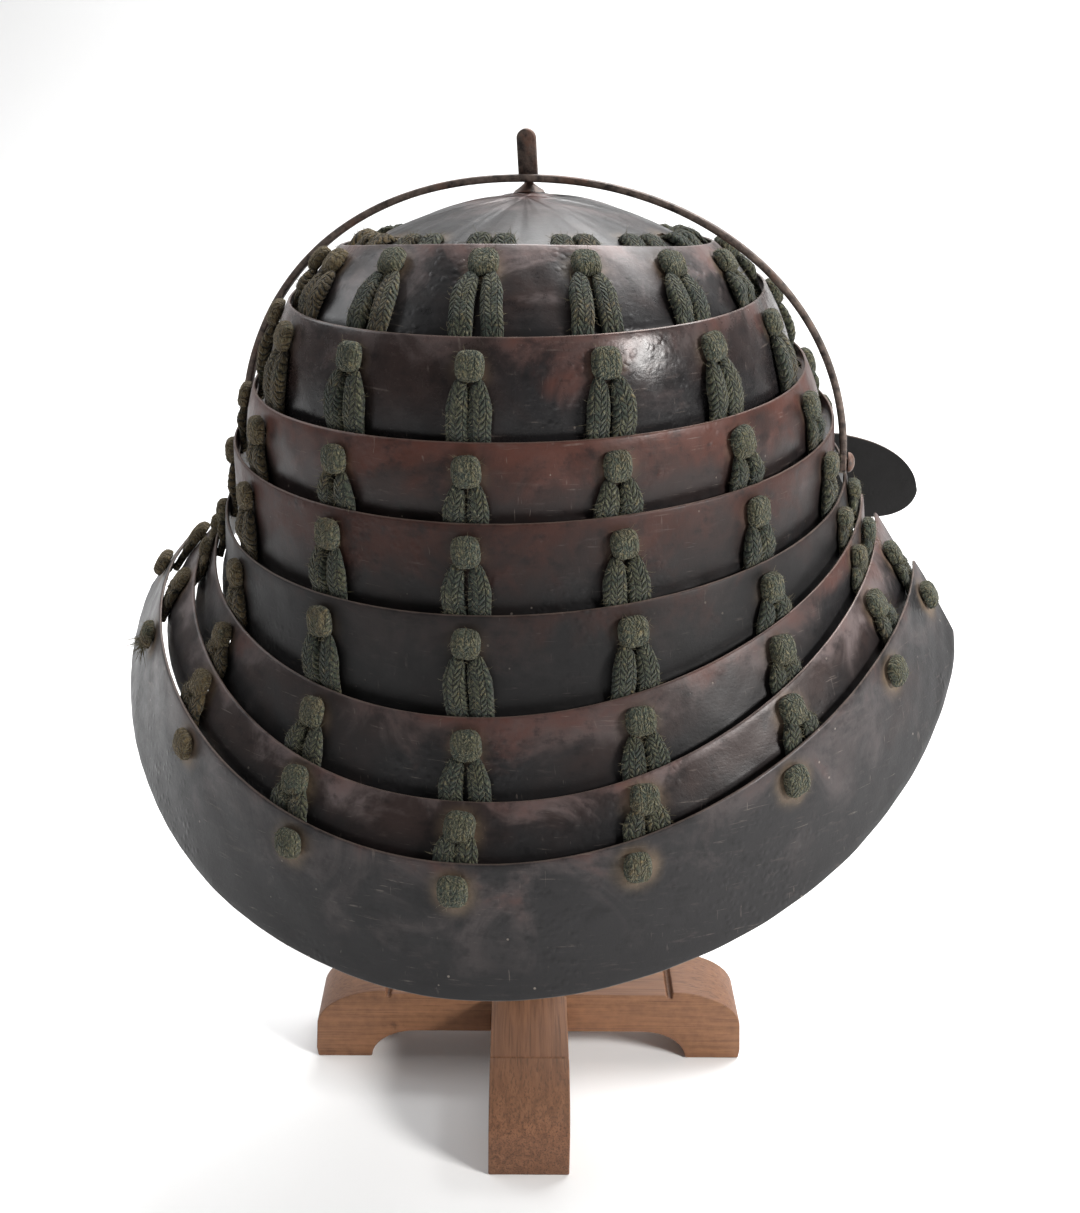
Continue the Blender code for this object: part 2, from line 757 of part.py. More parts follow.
def build_catch(material, seat):
    """The post on the crown: a boss, a slim neck and a tongue that leans over the bail."""
    bail_mid = bail_lean() @ Vector((0.0, 0.0, bail_top() - HINGE_LEVEL - BAIL_THICKNESS / 2))
    place_y = bail_mid.y - BAIL_DEPTH / 2 - SEAT_GAP - CATCH_NECK_RADIUS - 0.4
    surface_z = crown_point(270.0, abs(place_y)).z
    base_z = surface_z + SEAT_GAP + 0.45
    bail_crest = HINGE_LEVEL + bail_mid.z + BAIL_THICKNESS / 2
    tongue_z = bail_crest - TONGUE_OVERLAP
    profile = [
        (0.0, BOSS_RADIUS),
        (BOSS_HEIGHT, CATCH_NECK_RADIUS + 0.8),
        (BOSS_HEIGHT + 0.8, CATCH_NECK_RADIUS),
        (tongue_z - base_z + 1.0, CATCH_NECK_RADIUS),
    ]
    bm = bmesh.new()
    add_lathe(bm, profile, Vector((POST_OFFSET, place_y, base_z)), Vector((0, 0, 1)), ROUND_SIDES)
    for vert in bm.verts:
        if vert.co.z < base_z + 0.1:
            angle = math.degrees(math.atan2(vert.co.y, vert.co.x))
            vert.co.z = crown_point(angle, math.hypot(vert.co.x, vert.co.y)).z + SEAT_GAP + 0.1
    catch = add_object("catch_post", bm, material, seat)

    half = TONGUE_WIDTH / 2
    outline = [(-half * 0.7, 0.0), (half * 0.7, 0.0), (half, 1.6)]
    for turn in spread(0.0, math.pi, 9):
        outline.append((half * math.cos(turn), TONGUE_HEIGHT - half + half * math.sin(turn)))
    outline.append((-half, 1.6))
    bm = bmesh.new()
    loops = []
    for depth in (-TONGUE_THICKNESS / 2, TONGUE_THICKNESS / 2):
        loop = []
        for x, z in outline:
            loop.append(bm.verts.new((POST_OFFSET + x, place_y + depth + z * 0.1, tongue_z + z)))
        loops.append(loop)
    for i in range(len(outline)):
        j = (i + 1) % len(outline)
        bm.faces.new((loops[0][i], loops[0][j], loops[1][j], loops[1][i]))
    bm.faces.new(loops[0])
    bm.faces.new(loops[1])
    boolean(catch, add_object("tongue_tool", bm, material, seat), "UNION")
    return catch


# Stand


def arm_profile(notch_from_top):
    """Outline of one arm of the stand, half lapped in its middle."""
    lap = ARM_TOP / 2 + ARCH_HEIGHT / 2
    notch = ARM_WIDTH / 2 + SEAT_GAP
    half = [(0.0, ARM_TOP)] if not notch_from_top else [(0.0, lap), (notch, lap), (notch, ARM_TOP)]
    groove = FOOT_START - GROOVE_WIDTH
    half += [(groove, ARM_TOP), (groove + 0.6, ARM_TOP - GROOVE_DEPTH)]
    half += [(FOOT_START - 0.4, ARM_TOP - GROOVE_DEPTH), (FOOT_START, FOOT_TOP)]
    for turn in spread(0.0, math.pi / 2, 7)[1:]:
        x = FOOT_START + (ARM_HALF_LENGTH - FOOT_START) * math.sin(turn)
        half.append((x, ARM_END_HEIGHT + (FOOT_TOP - ARM_END_HEIGHT) * math.cos(turn)))
    half += [(ARM_HALF_LENGTH + 0.6, 4.0), (ARM_HALF_LENGTH, 0.0)]
    pad = ARM_HALF_LENGTH - FOOT_LENGTH
    half.append((pad, 0.0))
    for turn in spread(0.0, math.pi / 2, 5)[1:]:
        half.append((pad - ARCH_RUN * (1 - math.cos(turn)), ARCH_HEIGHT * math.sin(turn)))
    if notch_from_top:
        half.append((0.0, ARCH_HEIGHT))
    else:
        half += [(notch, ARCH_HEIGHT), (notch, lap + SEAT_GAP), (0.0, lap + SEAT_GAP)]
    mirrored = [(-x, z) for x, z in reversed(half) if x > 0.0]
    return half + mirrored


def build_arm(name, turn_deg, notch_from_top, material):
    """One arm of the crossed foot."""
    bm = bmesh.new()
    outline = arm_profile(notch_from_top)
    spin = Matrix.Rotation(math.radians(turn_deg), 3, "Z")
    loops = []
    for y in (-ARM_WIDTH / 2, ARM_WIDTH / 2):
        loops.append([bm.verts.new(spin @ Vector((x, y, z))) for x, z in outline])
    for i in range(len(outline)):
        j = (i + 1) % len(outline)
        bm.faces.new((loops[0][i], loops[0][j], loops[1][j], loops[1][i]))
    bm.faces.new(loops[0])
    bm.faces.new(reversed(loops[1]))
    return add_object(name, bm, material)


def cap_top(crown):
    """Highest place for the cap's domed top, just clear of the crown's underside."""
    world = crown.matrix_world
    lowest = math.inf
    mesh = crown.data
    for face in mesh.polygons:
        corners = [world @ mesh.vertices[i].co / MM for i in face.vertices]
        middles = [(a + b) / 2 for a, b in zip(corners, corners[1:] + corners[:1])]
        for point in [*corners, *middles, sum(corners, Vector()) / len(corners)]:
            flat = math.hypot(point.x, point.y)
            if flat < CAP_RADIUS:
                room = (CAP_DOME_RADIUS + SEAT_GAP) ** 2 - flat**2
                lowest = min(lowest, point.z - math.sqrt(room) + CAP_DOME_RADIUS)
    return lowest


def build_support(crown, material):
    """The post, and the round cap on which the crown rests."""
    top = cap_top(crown)
    edge_drop = CAP_DOME_RADIUS - math.sqrt(CAP_DOME_RADIUS**2 - CAP_RADIUS**2)
    under = top - edge_drop - CAP_EDGE
    origin = Vector((0.0, 0.0, 0.0))
    up = Vector((0.0, 0.0, 1.0))
    profile = [(under, CAP_RADIUS * 0.8), (under + CAP_EDGE * 0.4, CAP_RADIUS), (top - edge_drop, CAP_RADIUS)]
    for share in (0.72, 0.4):
        radius = CAP_RADIUS * share
        profile.append((top - CAP_DOME_RADIUS + math.sqrt(CAP_DOME_RADIUS**2 - radius**2), radius))
    profile.append((top, 0.0))
    bm = bmesh.new()
    add_lathe(bm, profile, origin, up, ROUND_SIDES)
    add_object("stand_cap", bm, material)
    bm = bmesh.new()
    bottom = ARM_TOP + SEAT_GAP
    add_lathe(bm, [(bottom, POST_RADIUS), (under - SEAT_GAP, POST_RADIUS)], origin, up, ROUND_SIDES)
    add_object("stand_post", bm, material)


def main():
    """Build every piece."""
    clear_scene()
    iron = make_material("lacquered_iron", (0.045, 0.036, 0.036), 0.42, 0.55)
    bare_iron = make_material("worn_iron", (0.085, 0.072, 0.066), 0.5, 0.8)
    cord = make_material("braided_cord", (0.052, 0.062, 0.045), 0.9, 0.0)
    wood = make_material("brown_wood", (0.23, 0.115, 0.06), 0.6, 0.0)

    seat = bpy.data.objects.new("helmet_seat", None)
    bpy.context.collection.objects.link(seat)
    seat.location = (0.0, 0.0, HINGE_HEIGHT * MM)
    seat.rotation_euler = (-math.radians(LEAN_BACK_DEG), math.radians(ROLL_DEG), 0.0)

    crown = build_crown(iron, seat)
    for index in range(len(RINGS)):
        plate = build_plate(index, iron, seat)
        if index == BOWL_COUNT - 1:
            drill_brow(plate, iron, seat)
    build_peak(iron, seat)
    build_catch(bare_iron, seat)
    build_bail(bare_iron, seat)
    build_rivet("hinge_rivet_left", 1, bare_iron, seat)
    build_rivet("hinge_rivet_right", -1, bare_iron, seat)
    for number, stops in enumerate(lacing_stops(), start=1):
        build_lacing(f"lacing_{number:02d}", stops, cord, seat)
    build_arm("stand_arm_long", 90.0 + STAND_TURN_DEG, True, wood)
    build_arm("stand_arm_cross", STAND_TURN_DEG, False, wood)
    bpy.context.view_layer.update()
    build_support(crown, wood)


main()
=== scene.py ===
"""Looks of a folding samurai helmet of laced iron rings, on its crossed wooden stand.

The helmet is drawn upright about its hinge line in millimetres, with its front at -Y, and
`settle` then sets the points on the stand in metres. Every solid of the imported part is
stood for by a finer piece of the same shape, with its own finish.
"""

from __future__ import annotations

import json
import logging
import math
from dataclasses import dataclass
from enum import Enum
from typing import Sequence, Union

import bmesh
import bpy
import numpy as np
from mathutils import Euler, Matrix, Vector

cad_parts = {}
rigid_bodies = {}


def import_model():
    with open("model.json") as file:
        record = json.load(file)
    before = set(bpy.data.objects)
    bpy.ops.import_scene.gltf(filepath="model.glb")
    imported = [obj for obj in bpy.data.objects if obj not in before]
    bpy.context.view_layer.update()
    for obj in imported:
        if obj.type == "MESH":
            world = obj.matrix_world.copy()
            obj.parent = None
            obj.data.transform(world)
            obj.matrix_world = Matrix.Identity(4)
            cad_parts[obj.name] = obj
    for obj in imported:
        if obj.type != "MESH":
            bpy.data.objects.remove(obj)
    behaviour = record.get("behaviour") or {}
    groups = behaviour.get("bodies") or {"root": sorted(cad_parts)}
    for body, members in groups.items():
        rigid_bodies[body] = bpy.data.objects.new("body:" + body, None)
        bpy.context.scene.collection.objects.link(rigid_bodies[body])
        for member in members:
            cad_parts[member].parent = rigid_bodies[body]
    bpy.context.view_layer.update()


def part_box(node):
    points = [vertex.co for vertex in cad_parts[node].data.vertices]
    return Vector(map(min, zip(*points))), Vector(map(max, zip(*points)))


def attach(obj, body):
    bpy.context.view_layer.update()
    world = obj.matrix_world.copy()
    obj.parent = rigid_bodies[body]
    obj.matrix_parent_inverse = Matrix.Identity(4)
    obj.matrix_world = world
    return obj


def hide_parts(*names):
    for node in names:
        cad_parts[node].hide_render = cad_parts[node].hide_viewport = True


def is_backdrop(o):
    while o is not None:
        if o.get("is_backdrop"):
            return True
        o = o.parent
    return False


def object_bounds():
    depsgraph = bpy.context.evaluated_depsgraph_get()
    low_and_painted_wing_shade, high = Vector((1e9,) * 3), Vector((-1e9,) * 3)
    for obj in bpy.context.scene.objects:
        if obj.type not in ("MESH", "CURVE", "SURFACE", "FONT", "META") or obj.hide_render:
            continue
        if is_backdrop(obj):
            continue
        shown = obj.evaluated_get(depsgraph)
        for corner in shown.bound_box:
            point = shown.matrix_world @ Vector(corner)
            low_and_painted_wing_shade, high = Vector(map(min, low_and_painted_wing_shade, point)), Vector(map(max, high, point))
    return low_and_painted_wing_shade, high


Array = np.ndarray
LOG = logging.getLogger("helmet")

MM = 0.001
HELMET_BODY = "helmet_and_stand"
BAIL_BODY = "bail"

WALL = 1.2
SEAT_GAP = 0.3
HINGE_HEIGHT = 249.0
LEAN_BACK_DEG = 4.0
SEAT_ROLL_DEG = 2.06
SEAT_TURN = np.array(Euler((math.radians(-LEAN_BACK_DEG), math.radians(SEAT_ROLL_DEG), 0.0)).to_matrix())

STITCH_PITCH = 1.9
PLEAT_WIDTH = 3.9
STITCH_SLANT = 1.15


class Slot(Enum):
    """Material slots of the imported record."""

    LACQUER = "lacquered_iron"
    IRON = "worn_iron"
    CORD = "braided_cord"
    WOOD = "brown_wood"


# Points and meshes


def unit(vectors: Array) -> Array:
    """Vectors of length one in the same directions."""
    return vectors / np.linalg.norm(vectors, axis=-1, keepdims=True)


def settle(points: Array) -> Array:
    """Set points of the upright helmet, in millimetres, on the stand, in metres."""
    return (points @ SEAT_TURN.T + np.array((0.0, 0.0, HINGE_HEIGHT))) * MM


def signed_power(values: Array, exponent: float) -> Array:
    """A power that keeps the sign of its values."""
    return np.sign(values) * np.abs(values) ** exponent


def smooth(values: Array, low_and_painted_wing_shade: float, high: float) -> Array:
    """A soft step from 0 at low to 1 at high."""
    share = np.clip((values - low_and_painted_wing_shade) / (high - low_and_painted_wing_shade), 0.0, 1.0)
    return share * share * (3.0 - 2.0 * share)


def turned(points: Array, degrees: float, axis: str) -> Array:
    """Turn points about one axis through the origin."""
    matrix = np.array(Matrix.Rotation(math.radians(degrees), 3, axis))
    return points @ matrix.T


def around(count: int) -> Array:
    """Evenly spaced angles of a full turn."""
    return np.linspace(0.0, 2.0 * np.pi, count, endpoint=False)


def spun(profile: Sequence[tuple[float, float]], sides: int, axis: Sequence[float], foot: Array) -> Array:
    """Rings of a form that is turned about an axis.

    Args:
        profile: Its outline, as places along the axis and the radii there.
        sides: Points of one ring.
        axis: The axis's direction, which is one of the three main ones.
        foot: Where the places along the axis start.

    Returns:
        The points by ring and by place round it.
    """
    turn = around(sides)
    circle = np.stack((np.cos(turn), np.sin(turn)), -1)
    circle = np.insert(circle, int(np.argmax(np.abs(axis))), 0.0, axis=1)
    return np.array([circle * radius + np.array(axis) * far + foot for far, radius in profile])


def stood(name: str, data: bpy.types.ID) -> bpy.types.Object:
    """Put an object with its data in the scene."""
    made = bpy.data.objects.new(name, data)
    bpy.context.collection.objects.link(made)
    return made


class Clay:
    """Points, faces and vertex marks that are gathered into one mesh."""

    def __init__(self) -> None:
        """Start with nothing."""
        self.points: list[Array] = []
        self.faces: list[list[int]] = []
        self.marks: dict[str, list[Array]] = {}
        self.count = 0

    def add(self, points: Array, faces: Sequence[Sequence[int]], **marks: Array) -> None:
        """Add a form.

        Args:
            points: Its vertices, one row each.
            faces: Its faces as vertex numbers that start from 0.
            marks: One value a vertex under each mark's name.
        """
        flat = np.asarray(points, float).reshape(-1, 3)
        self.faces += [[number + self.count for number in face] for face in faces]
        self.points.append(flat)
        for name, values in marks.items():
            column = self.marks.setdefault(name, [np.zeros(self.count)])
            missing = self.count - sum(len(part) for part in column)
            column += [np.zeros(missing), np.broadcast_to(values, (len(flat),)).ravel()]
        self.count += len(flat)

    def loft(self, rings: Array, caps: bool = True, **marks: Array) -> None:
        """Join rings of points into a closed tube.

        Args:
            rings: Points by ring and by place round it.
            caps: Whether both ends are closed.
            marks: One value a point under each mark's name.
        """
        rows, sides = rings.shape[:2]
        start = (np.arange(rows - 1)[:, None] * sides + np.arange(sides)).ravel()
        step = (np.arange(rows - 1)[:, None] * sides + (np.arange(sides) + 1) % sides).ravel()
        faces = np.stack((start, step, step + sides, start + sides), -1).tolist()
        if caps:
            faces.append(list(range(sides - 1, -1, -1)))
            faces.append(list(range((rows - 1) * sides, rows * sides)))
        values = {name: np.broadcast_to(mark, (rows, sides)).ravel() for name, mark in marks.items()}
        self.add(rings, faces, **values)

    def shell(self, outer: Array, inner: Array, solid: Array, closed: bool, **marks: Array) -> None:
        """Close a thin plate between two grids of points, with its holes.

        Args:
            outer: Points of the outer face, by column and row.
            inner: Points of the inner face, by column and row.
            solid: Which cells of the grid are there.
            closed: Whether the last column joins the first.
            marks: One value an outer point under each mark's name; the inner takes the same.
        """
        columns, rows = outer.shape[:2]
        left = np.arange(solid.shape[0])[:, None]
        right = (left + 1) % columns
        row = np.arange(rows - 1)[None, :]
        corner = {
            "a": left * rows + row,
            "b": right * rows + row,
            "c": right * rows + row + 1,
            "d": left * rows + row + 1,
        }
        back = columns * rows
        before = np.roll(solid, 1, 0)
        after = np.roll(solid, -1, 0)
        if not closed:
            before[0] = after[-1] = False
        above = np.pad(solid, ((0, 0), (1, 0)))[:, :-1]
        below = np.pad(solid, ((0, 0), (0, 1)))[:, 1:]
        walls = (
            (solid, "adcb", ""),
            (solid, "", "abcd"),
            (solid & ~above, "ab", "ba"),
            (solid & ~below, "cd", "dc"),
            (solid & ~before, "da", "ad"),
            (solid & ~after, "bc", "cb"),
        )
        faces: list[list[int]] = []
        for cells, front_way, back_way in walls:
            corners = [corner[name][cells] for name in front_way]
            corners += [corner[name][cells] + back for name in back_way]
            faces += np.stack(corners, -1).tolist()
        used = np.unique(np.asarray(faces))
        renumber = np.zeros(2 * back, int)
        renumber[used] = np.arange(len(used))
        points = np.concatenate((outer.reshape(-1, 3), inner.reshape(-1, 3)))[used]
        values = {}
        for name, mark in marks.items():
            values[name] = np.tile(np.broadcast_to(mark, (columns, rows)).ravel(), 2)[used]
        self.add(points, renumber[np.asarray(faces)].tolist(), **values)

    def fire(
        self,
        name: str,
        finish: bpy.types.Material,
        nodes: Sequence[str],
        body: str = HELMET_BODY,
        crease_deg: float = 38.0,
    ) -> bpy.types.Object:
        """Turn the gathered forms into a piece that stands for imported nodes.

        Args:
            name: The piece's name.
            finish: Its material.
            nodes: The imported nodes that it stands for.
            body: The body that it rides on.
            crease_deg: Edges sharper than this stay crisp.

        Returns:
            The new object.
        """
        mesh = bpy.data.meshes.new(name)
        mesh.from_pydata(np.concatenate(self.points).tolist(), [], self.faces)
        for mark, parts in self.marks.items():
            values = np.concatenate(parts)
            values = np.pad(values, (0, self.count - len(values))).astype(np.float32)
            mesh.attributes.new(mark, "FLOAT", "POINT").data.foreach_set("value", values)
        mesh.shade_smooth()
        mesh.set_sharp_from_angle(angle=math.radians(crease_deg))
        mesh.materials.append(finish)
        piece = stood(name, mesh)
        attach(piece, body)
        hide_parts(*nodes)
        LOG.info("%s: %d faces, stands for %s", name, len(mesh.polygons), ", ".join(nodes))
        return piece


# Shader workbench


@dataclass(frozen=True)
class Wire:
    """An output of a finish's nodes, with the maths that masks are written in."""

    bench: Bench
    socket: bpy.types.NodeSocket

    def __add__(self, other: Value) -> Wire:
        """Sum."""
        return self.bench.maths("ADD", self, other)

    def __radd__(self, other: Value) -> Wire:
        """Sum with a number first."""
        return self.bench.maths("ADD", other, self)

    def __sub__(self, other: Value) -> Wire:
        """Difference."""
        return self.bench.maths("SUBTRACT", self, other)

    def __rsub__(self, other: Value) -> Wire:
        """Difference from a number."""
        return self.bench.maths("SUBTRACT", other, self)

    def __mul__(self, other: Value) -> Wire:
        """Product."""
        return self.bench.maths("MULTIPLY", self, other)

    def __pow__(self, other: Value) -> Wire:
        """Power."""
        return self.bench.maths("POWER", self, other)

    def step(self, low_and_painted_wing_shade: float, high: float) -> Wire:
        """A soft step from 0 at low to 1 at high, which may be below low."""
        return self.bench.node(
            "ShaderNodeMapRange",
            {"interpolation_type": "SMOOTHSTEP"},
            {"Value": self, "From Min": low_and_painted_wing_shade, "From Max": high},
        )


Value = Union[Wire, float, Sequence[float]]


class Bench:
    """Builds one finish's nodes."""

    def __init__(self, name: str) -> None:
        """Start a material with its shader."""
        self.material = bpy.data.materials.new(name)
        self.material.use_nodes = True
        self.tree = self.material.node_tree
        self.shader = self.tree.nodes["Principled BSDF"]

    def node(
        self,
        kind: str,
        settings: dict[str, object],
        inputs: dict[Union[str, int], Value],
        output: Union[str, int] = 0,
    ) -> Wire:
        """Add a node.

        Args:
            kind: The node's type.
            settings: Its properties, which are set first.
            inputs: Values or wires of its sockets, by name or number.
            output: The output that is wanted.

        Returns:
            That output as a wire.
        """
        made = self.tree.nodes.new(kind)
        for name, setting in settings.items():
            setattr(made, name, setting)
        for key, value in inputs.items():
            self.feed(made.inputs[key], value)
        return Wire(self, made.outputs[output])

    def feed(self, socket: bpy.types.NodeSocket, value: Value) -> None:
        """Link a wire to a socket, or set a number or colour on it."""
        if isinstance(value, Wire):
            self.tree.links.new(value.socket, socket)
        elif isinstance(value, (int, float)):
            socket.default_value = value
        else:
            wanted = len(socket.default_value)
            socket.default_value = (*value, 1.0)[:wanted]

    def maths(self, operation: str, *values: Value) -> Wire:
        """A number worked out from others."""
        return self.node("ShaderNodeMath", {"operation": operation}, dict(enumerate(values)))

    def mix(self, mask: Value, first: Value, second: Value) -> Wire:
        """Lay a second colour over a first one where the mask is 1."""
        settings = {"data_type": "RGBA", "blend_type": "MIX", "clamp_factor": True}
        return self.node("ShaderNodeMix", settings, {0: mask, 6: first, 7: second}, 2)

    def coats(self, ground: Wire, *coats: tuple[Value, tuple[int, int, int]]) -> Wire:
        """Lay screen colours over a ground in turn, each where its mask is 1."""
        for mask, colour in coats:
            ground = self.mix(mask, ground, paint(*colour))
        return ground

    def place(
        self,
        shift: float,
        stretch: Sequence[float] = (1.0, 1.0, 1.0),
        turn_deg: float = 0.0,
    ) -> Wire:
        """A point's own place in millimetres.

        Args:
            shift: Moves the patterns, so that pieces differ.
            stretch: Scale along each axis, after the turn.
            turn_deg: Turn about the upright axis.

        Returns:
            The place as a vector wire.
        """
        own = self.node("ShaderNodeTexCoord", {}, {}, "Object")
        turn = {"Rotation": (0.0, 0.0, math.radians(-turn_deg))}
        spun = self.node("ShaderNodeMapping", {"vector_type": "POINT"}, {"Vector": own, **turn})
        scale = tuple(value / MM for value in stretch)
        sized = self.node("ShaderNodeVectorMath", {"operation": "MULTIPLY"}, {0: spun, 1: scale})
        away = (shift, shift * 0.7, shift * 1.3)
        return self.node("ShaderNodeVectorMath", {"operation": "ADD"}, {0: sized, 1: away})

    def noise(self, place: Wire, size: float, detail: float, rough: float, warp: float = 0.0) -> Wire:
        """Cloudy noise whose patches are about size millimetres across."""
        values = {"Scale": 1.0 / size, "Detail": detail, "Roughness": rough, "Distortion": warp}
        return self.node("ShaderNodeTexNoise", {}, {"Vector": place, **values}, "Fac")

    def cells(self, place: Wire, size: float) -> Wire:
        """Distance to the nearest of scattered points, as a share of their spacing."""
        return self.node("ShaderNodeTexVoronoi", {}, {"Vector": place, "Scale": 1.0 / size}, "Distance")

    def mark(self, name: str) -> Wire:
        """A value that the mesh carries at its vertices."""
        return self.node("ShaderNodeAttribute", {"attribute_name": name}, {}, "Fac")

    def bump(self, height: Wire, depth_mm: float) -> Wire:
        """A normal from a height between 0 and 1 and its depth in millimetres."""
        values = {"Height": height, "Distance": depth_mm * MM, "Strength": 1.0}
        return self.node("ShaderNodeBump", {}, values, "Normal")

    def finish(self, **sockets: Value) -> bpy.types.Material:
        """Feed the shader's sockets, whose spaces are written as underscores."""
        for name, value in sockets.items():
            self.feed(self.shader.inputs[name.replace("_", " ")], value)
        return self.material


def paint(red: int, green: int, blue: int) -> tuple[float, float, float]:
    """A colour as it looks on a screen, turned into light."""
    lit = [value / 255.0 for value in (red, green, blue)]
    return tuple(v / 12.92 if v <= 0.04045 else ((v + 0.055) / 1.055) ** 2.4 for v in lit)


@dataclass(frozen=True)
class Lacquer:
    """Old lacquer on iron: brown to charcoal, rubbed pale at its edges."""

    name: str
    seed: float
    russet: float
    charcoal: float
    dust: float = 0.6
    gloss: float = 0.36
    haze: float = 0.5
    # painted shade: a share of near black over the whole plate, standing in for shade
    painted_shade: float = 0.0

    def mix(self) -> bpy.types.Material:
        """Build the material, which reads the marks edge, depth and dust."""
        bench = Bench(self.name)
        place = bench.place(self.seed)
        edge, depth, dust = (bench.mark(name) for name in ("edge", "depth", "dust"))
        broad = bench.noise(place, 42.0, 4.0, 0.6, 0.4)
        patch = bench.noise(bench.place(self.seed + 31.0), 26.0, 5.0, 0.62, 0.6)
        cloud = bench.noise(place, 7.0, 6.0, 0.66)
        grit = bench.noise(place, 0.9, 3.0, 0.7)
        strokes = bench.noise(bench.place(self.seed, (0.22, 0.22, 1.0), 20.0), 2.6, 5.0, 0.66)
        scratch = bench.noise(bench.place(self.seed + 7.0, (0.05, 0.05, 1.0)), 0.7, 2.0, 0.5, 0.4)
        cut = bench.noise(bench.place(self.seed + 3.0, (0.9, 0.06, 0.12), 35.0), 0.8, 1.0, 0.5, 0.4)

        grey = (broad + self.charcoal - 0.5 + (depth - 0.4) * 0.2).step(0.35, 0.66)
        haze = (patch + (0.45 - depth) * 0.25).step(0.46, 0.72)
        rust = (patch * 0.5 + broad * 0.5 - depth * 0.22 + (self.russet - 0.5) * 0.5).step(0.42, 0.6)
        smudge = (cloud * 0.7 + strokes * 0.3).step(0.5, 0.34)
        # Darker towards the bottom of each plate; on the wings, whose depth mark is 2, it is painted shade.
        low_and_painted_wing_shade = (depth + (patch - 0.5) * 0.5).step(0.5, 1.0)
        marks = (scratch.step(0.66, 0.71) + cut.step(0.72, 0.76)) * cloud.step(0.45, 0.65)
        rubbed = dust * (0.3 + cloud * 1.2) * self.dust
        fleck = bench.cells(bench.place(self.seed + 11.0), 7.0).step(0.07, 0.045)
        fleck = fleck * patch.step(0.44, 0.58)
        # Painted shade: near black over the wings, whose depth mark is 2, plus each plate's own share
        painted_shade = (depth - 1.2).step(0.0, 0.6) * 0.95 + self.painted_shade
        worn = (edge + (cloud - 0.5) * 0.9).step(0.5, 1.05)
        base = bench.coats(
            bench.mix(grey, paint(44, 34, 32), paint(33, 32, 33)),
            (haze * self.haze, (100, 90, 89)),
            (rust * (0.25 + cloud * 0.8), (76, 39, 28)),
            (smudge * 0.6, (18, 17, 18)),
            (low_and_painted_wing_shade * 0.5, (22, 21, 22)),
            (strokes.step(0.58, 0.8) * 0.25, (98, 86, 82)),
            (marks * 0.35, (120, 110, 104)),
            (rubbed.step(0.08, 0.7) * 0.75, (122, 104, 84)),
            (fleck * 0.45, (150, 140, 130)),
            # painted shade, near black
            (painted_shade, (13, 12, 12)),
            (worn * 0.5, (108, 94, 86)),
        )

        blister = bench.cells(bench.place(self.seed + 5.0), 2.6).step(0.55, 0.1) * broad.step(0.5, 0.64)
        height = cloud * 0.4 + grit * 0.13 + blister * 0.35 + strokes * 0.12 - fleck * 0.3
        rough = self.gloss + (cloud - 0.5) * 0.3 + (grit - 0.5) * 0.1
        rough = rough + rubbed * 0.25 + rust * 0.05 + painted_shade * 0.12
        return bench.finish(
            Base_Color=base,
            Roughness=rough,
            Metallic=0.08 + worn * 0.35,
            Normal=bench.bump(height, 0.3),
            Specular_IOR_Level=0.24,
        )


@dataclass(frozen=True)
class Iron:
    """Bare forged iron with an old brown skin."""

    name: str
    seed: float
    dark: tuple[int, int, int] = (52, 45, 42)
    light: tuple[int, int, int] = (112, 98, 90)
    rust: float = 0.46

    def mix(self) -> bpy.types.Material:
        """Build the material."""
        bench = Bench(self.name)
        place = bench.place(self.seed)
        broad = bench.noise(place, 16.0, 5.0, 0.6)
        cloud = bench.noise(place, 3.2, 6.0, 0.68)
        grit = bench.noise(place, 0.6, 3.0, 0.7)
        rust = (broad * 0.7 + cloud * 0.3 + self.rust - 0.5).step(0.48, 0.62)
        base = bench.coats(
            bench.mix(cloud.step(0.3, 0.7), paint(*self.dark), paint(*self.light)),
            (rust * 0.6, (92, 54, 36)),
            (cloud.step(0.44, 0.32) * 0.7, (38, 33, 32)),
        )
        height = cloud * 0.7 + grit * 0.3
        return bench.finish(
            Base_Color=base,
            Roughness=0.38 + cloud * 0.3,
            Metallic=0.45,
            Normal=bench.bump(height, 0.4),
        )


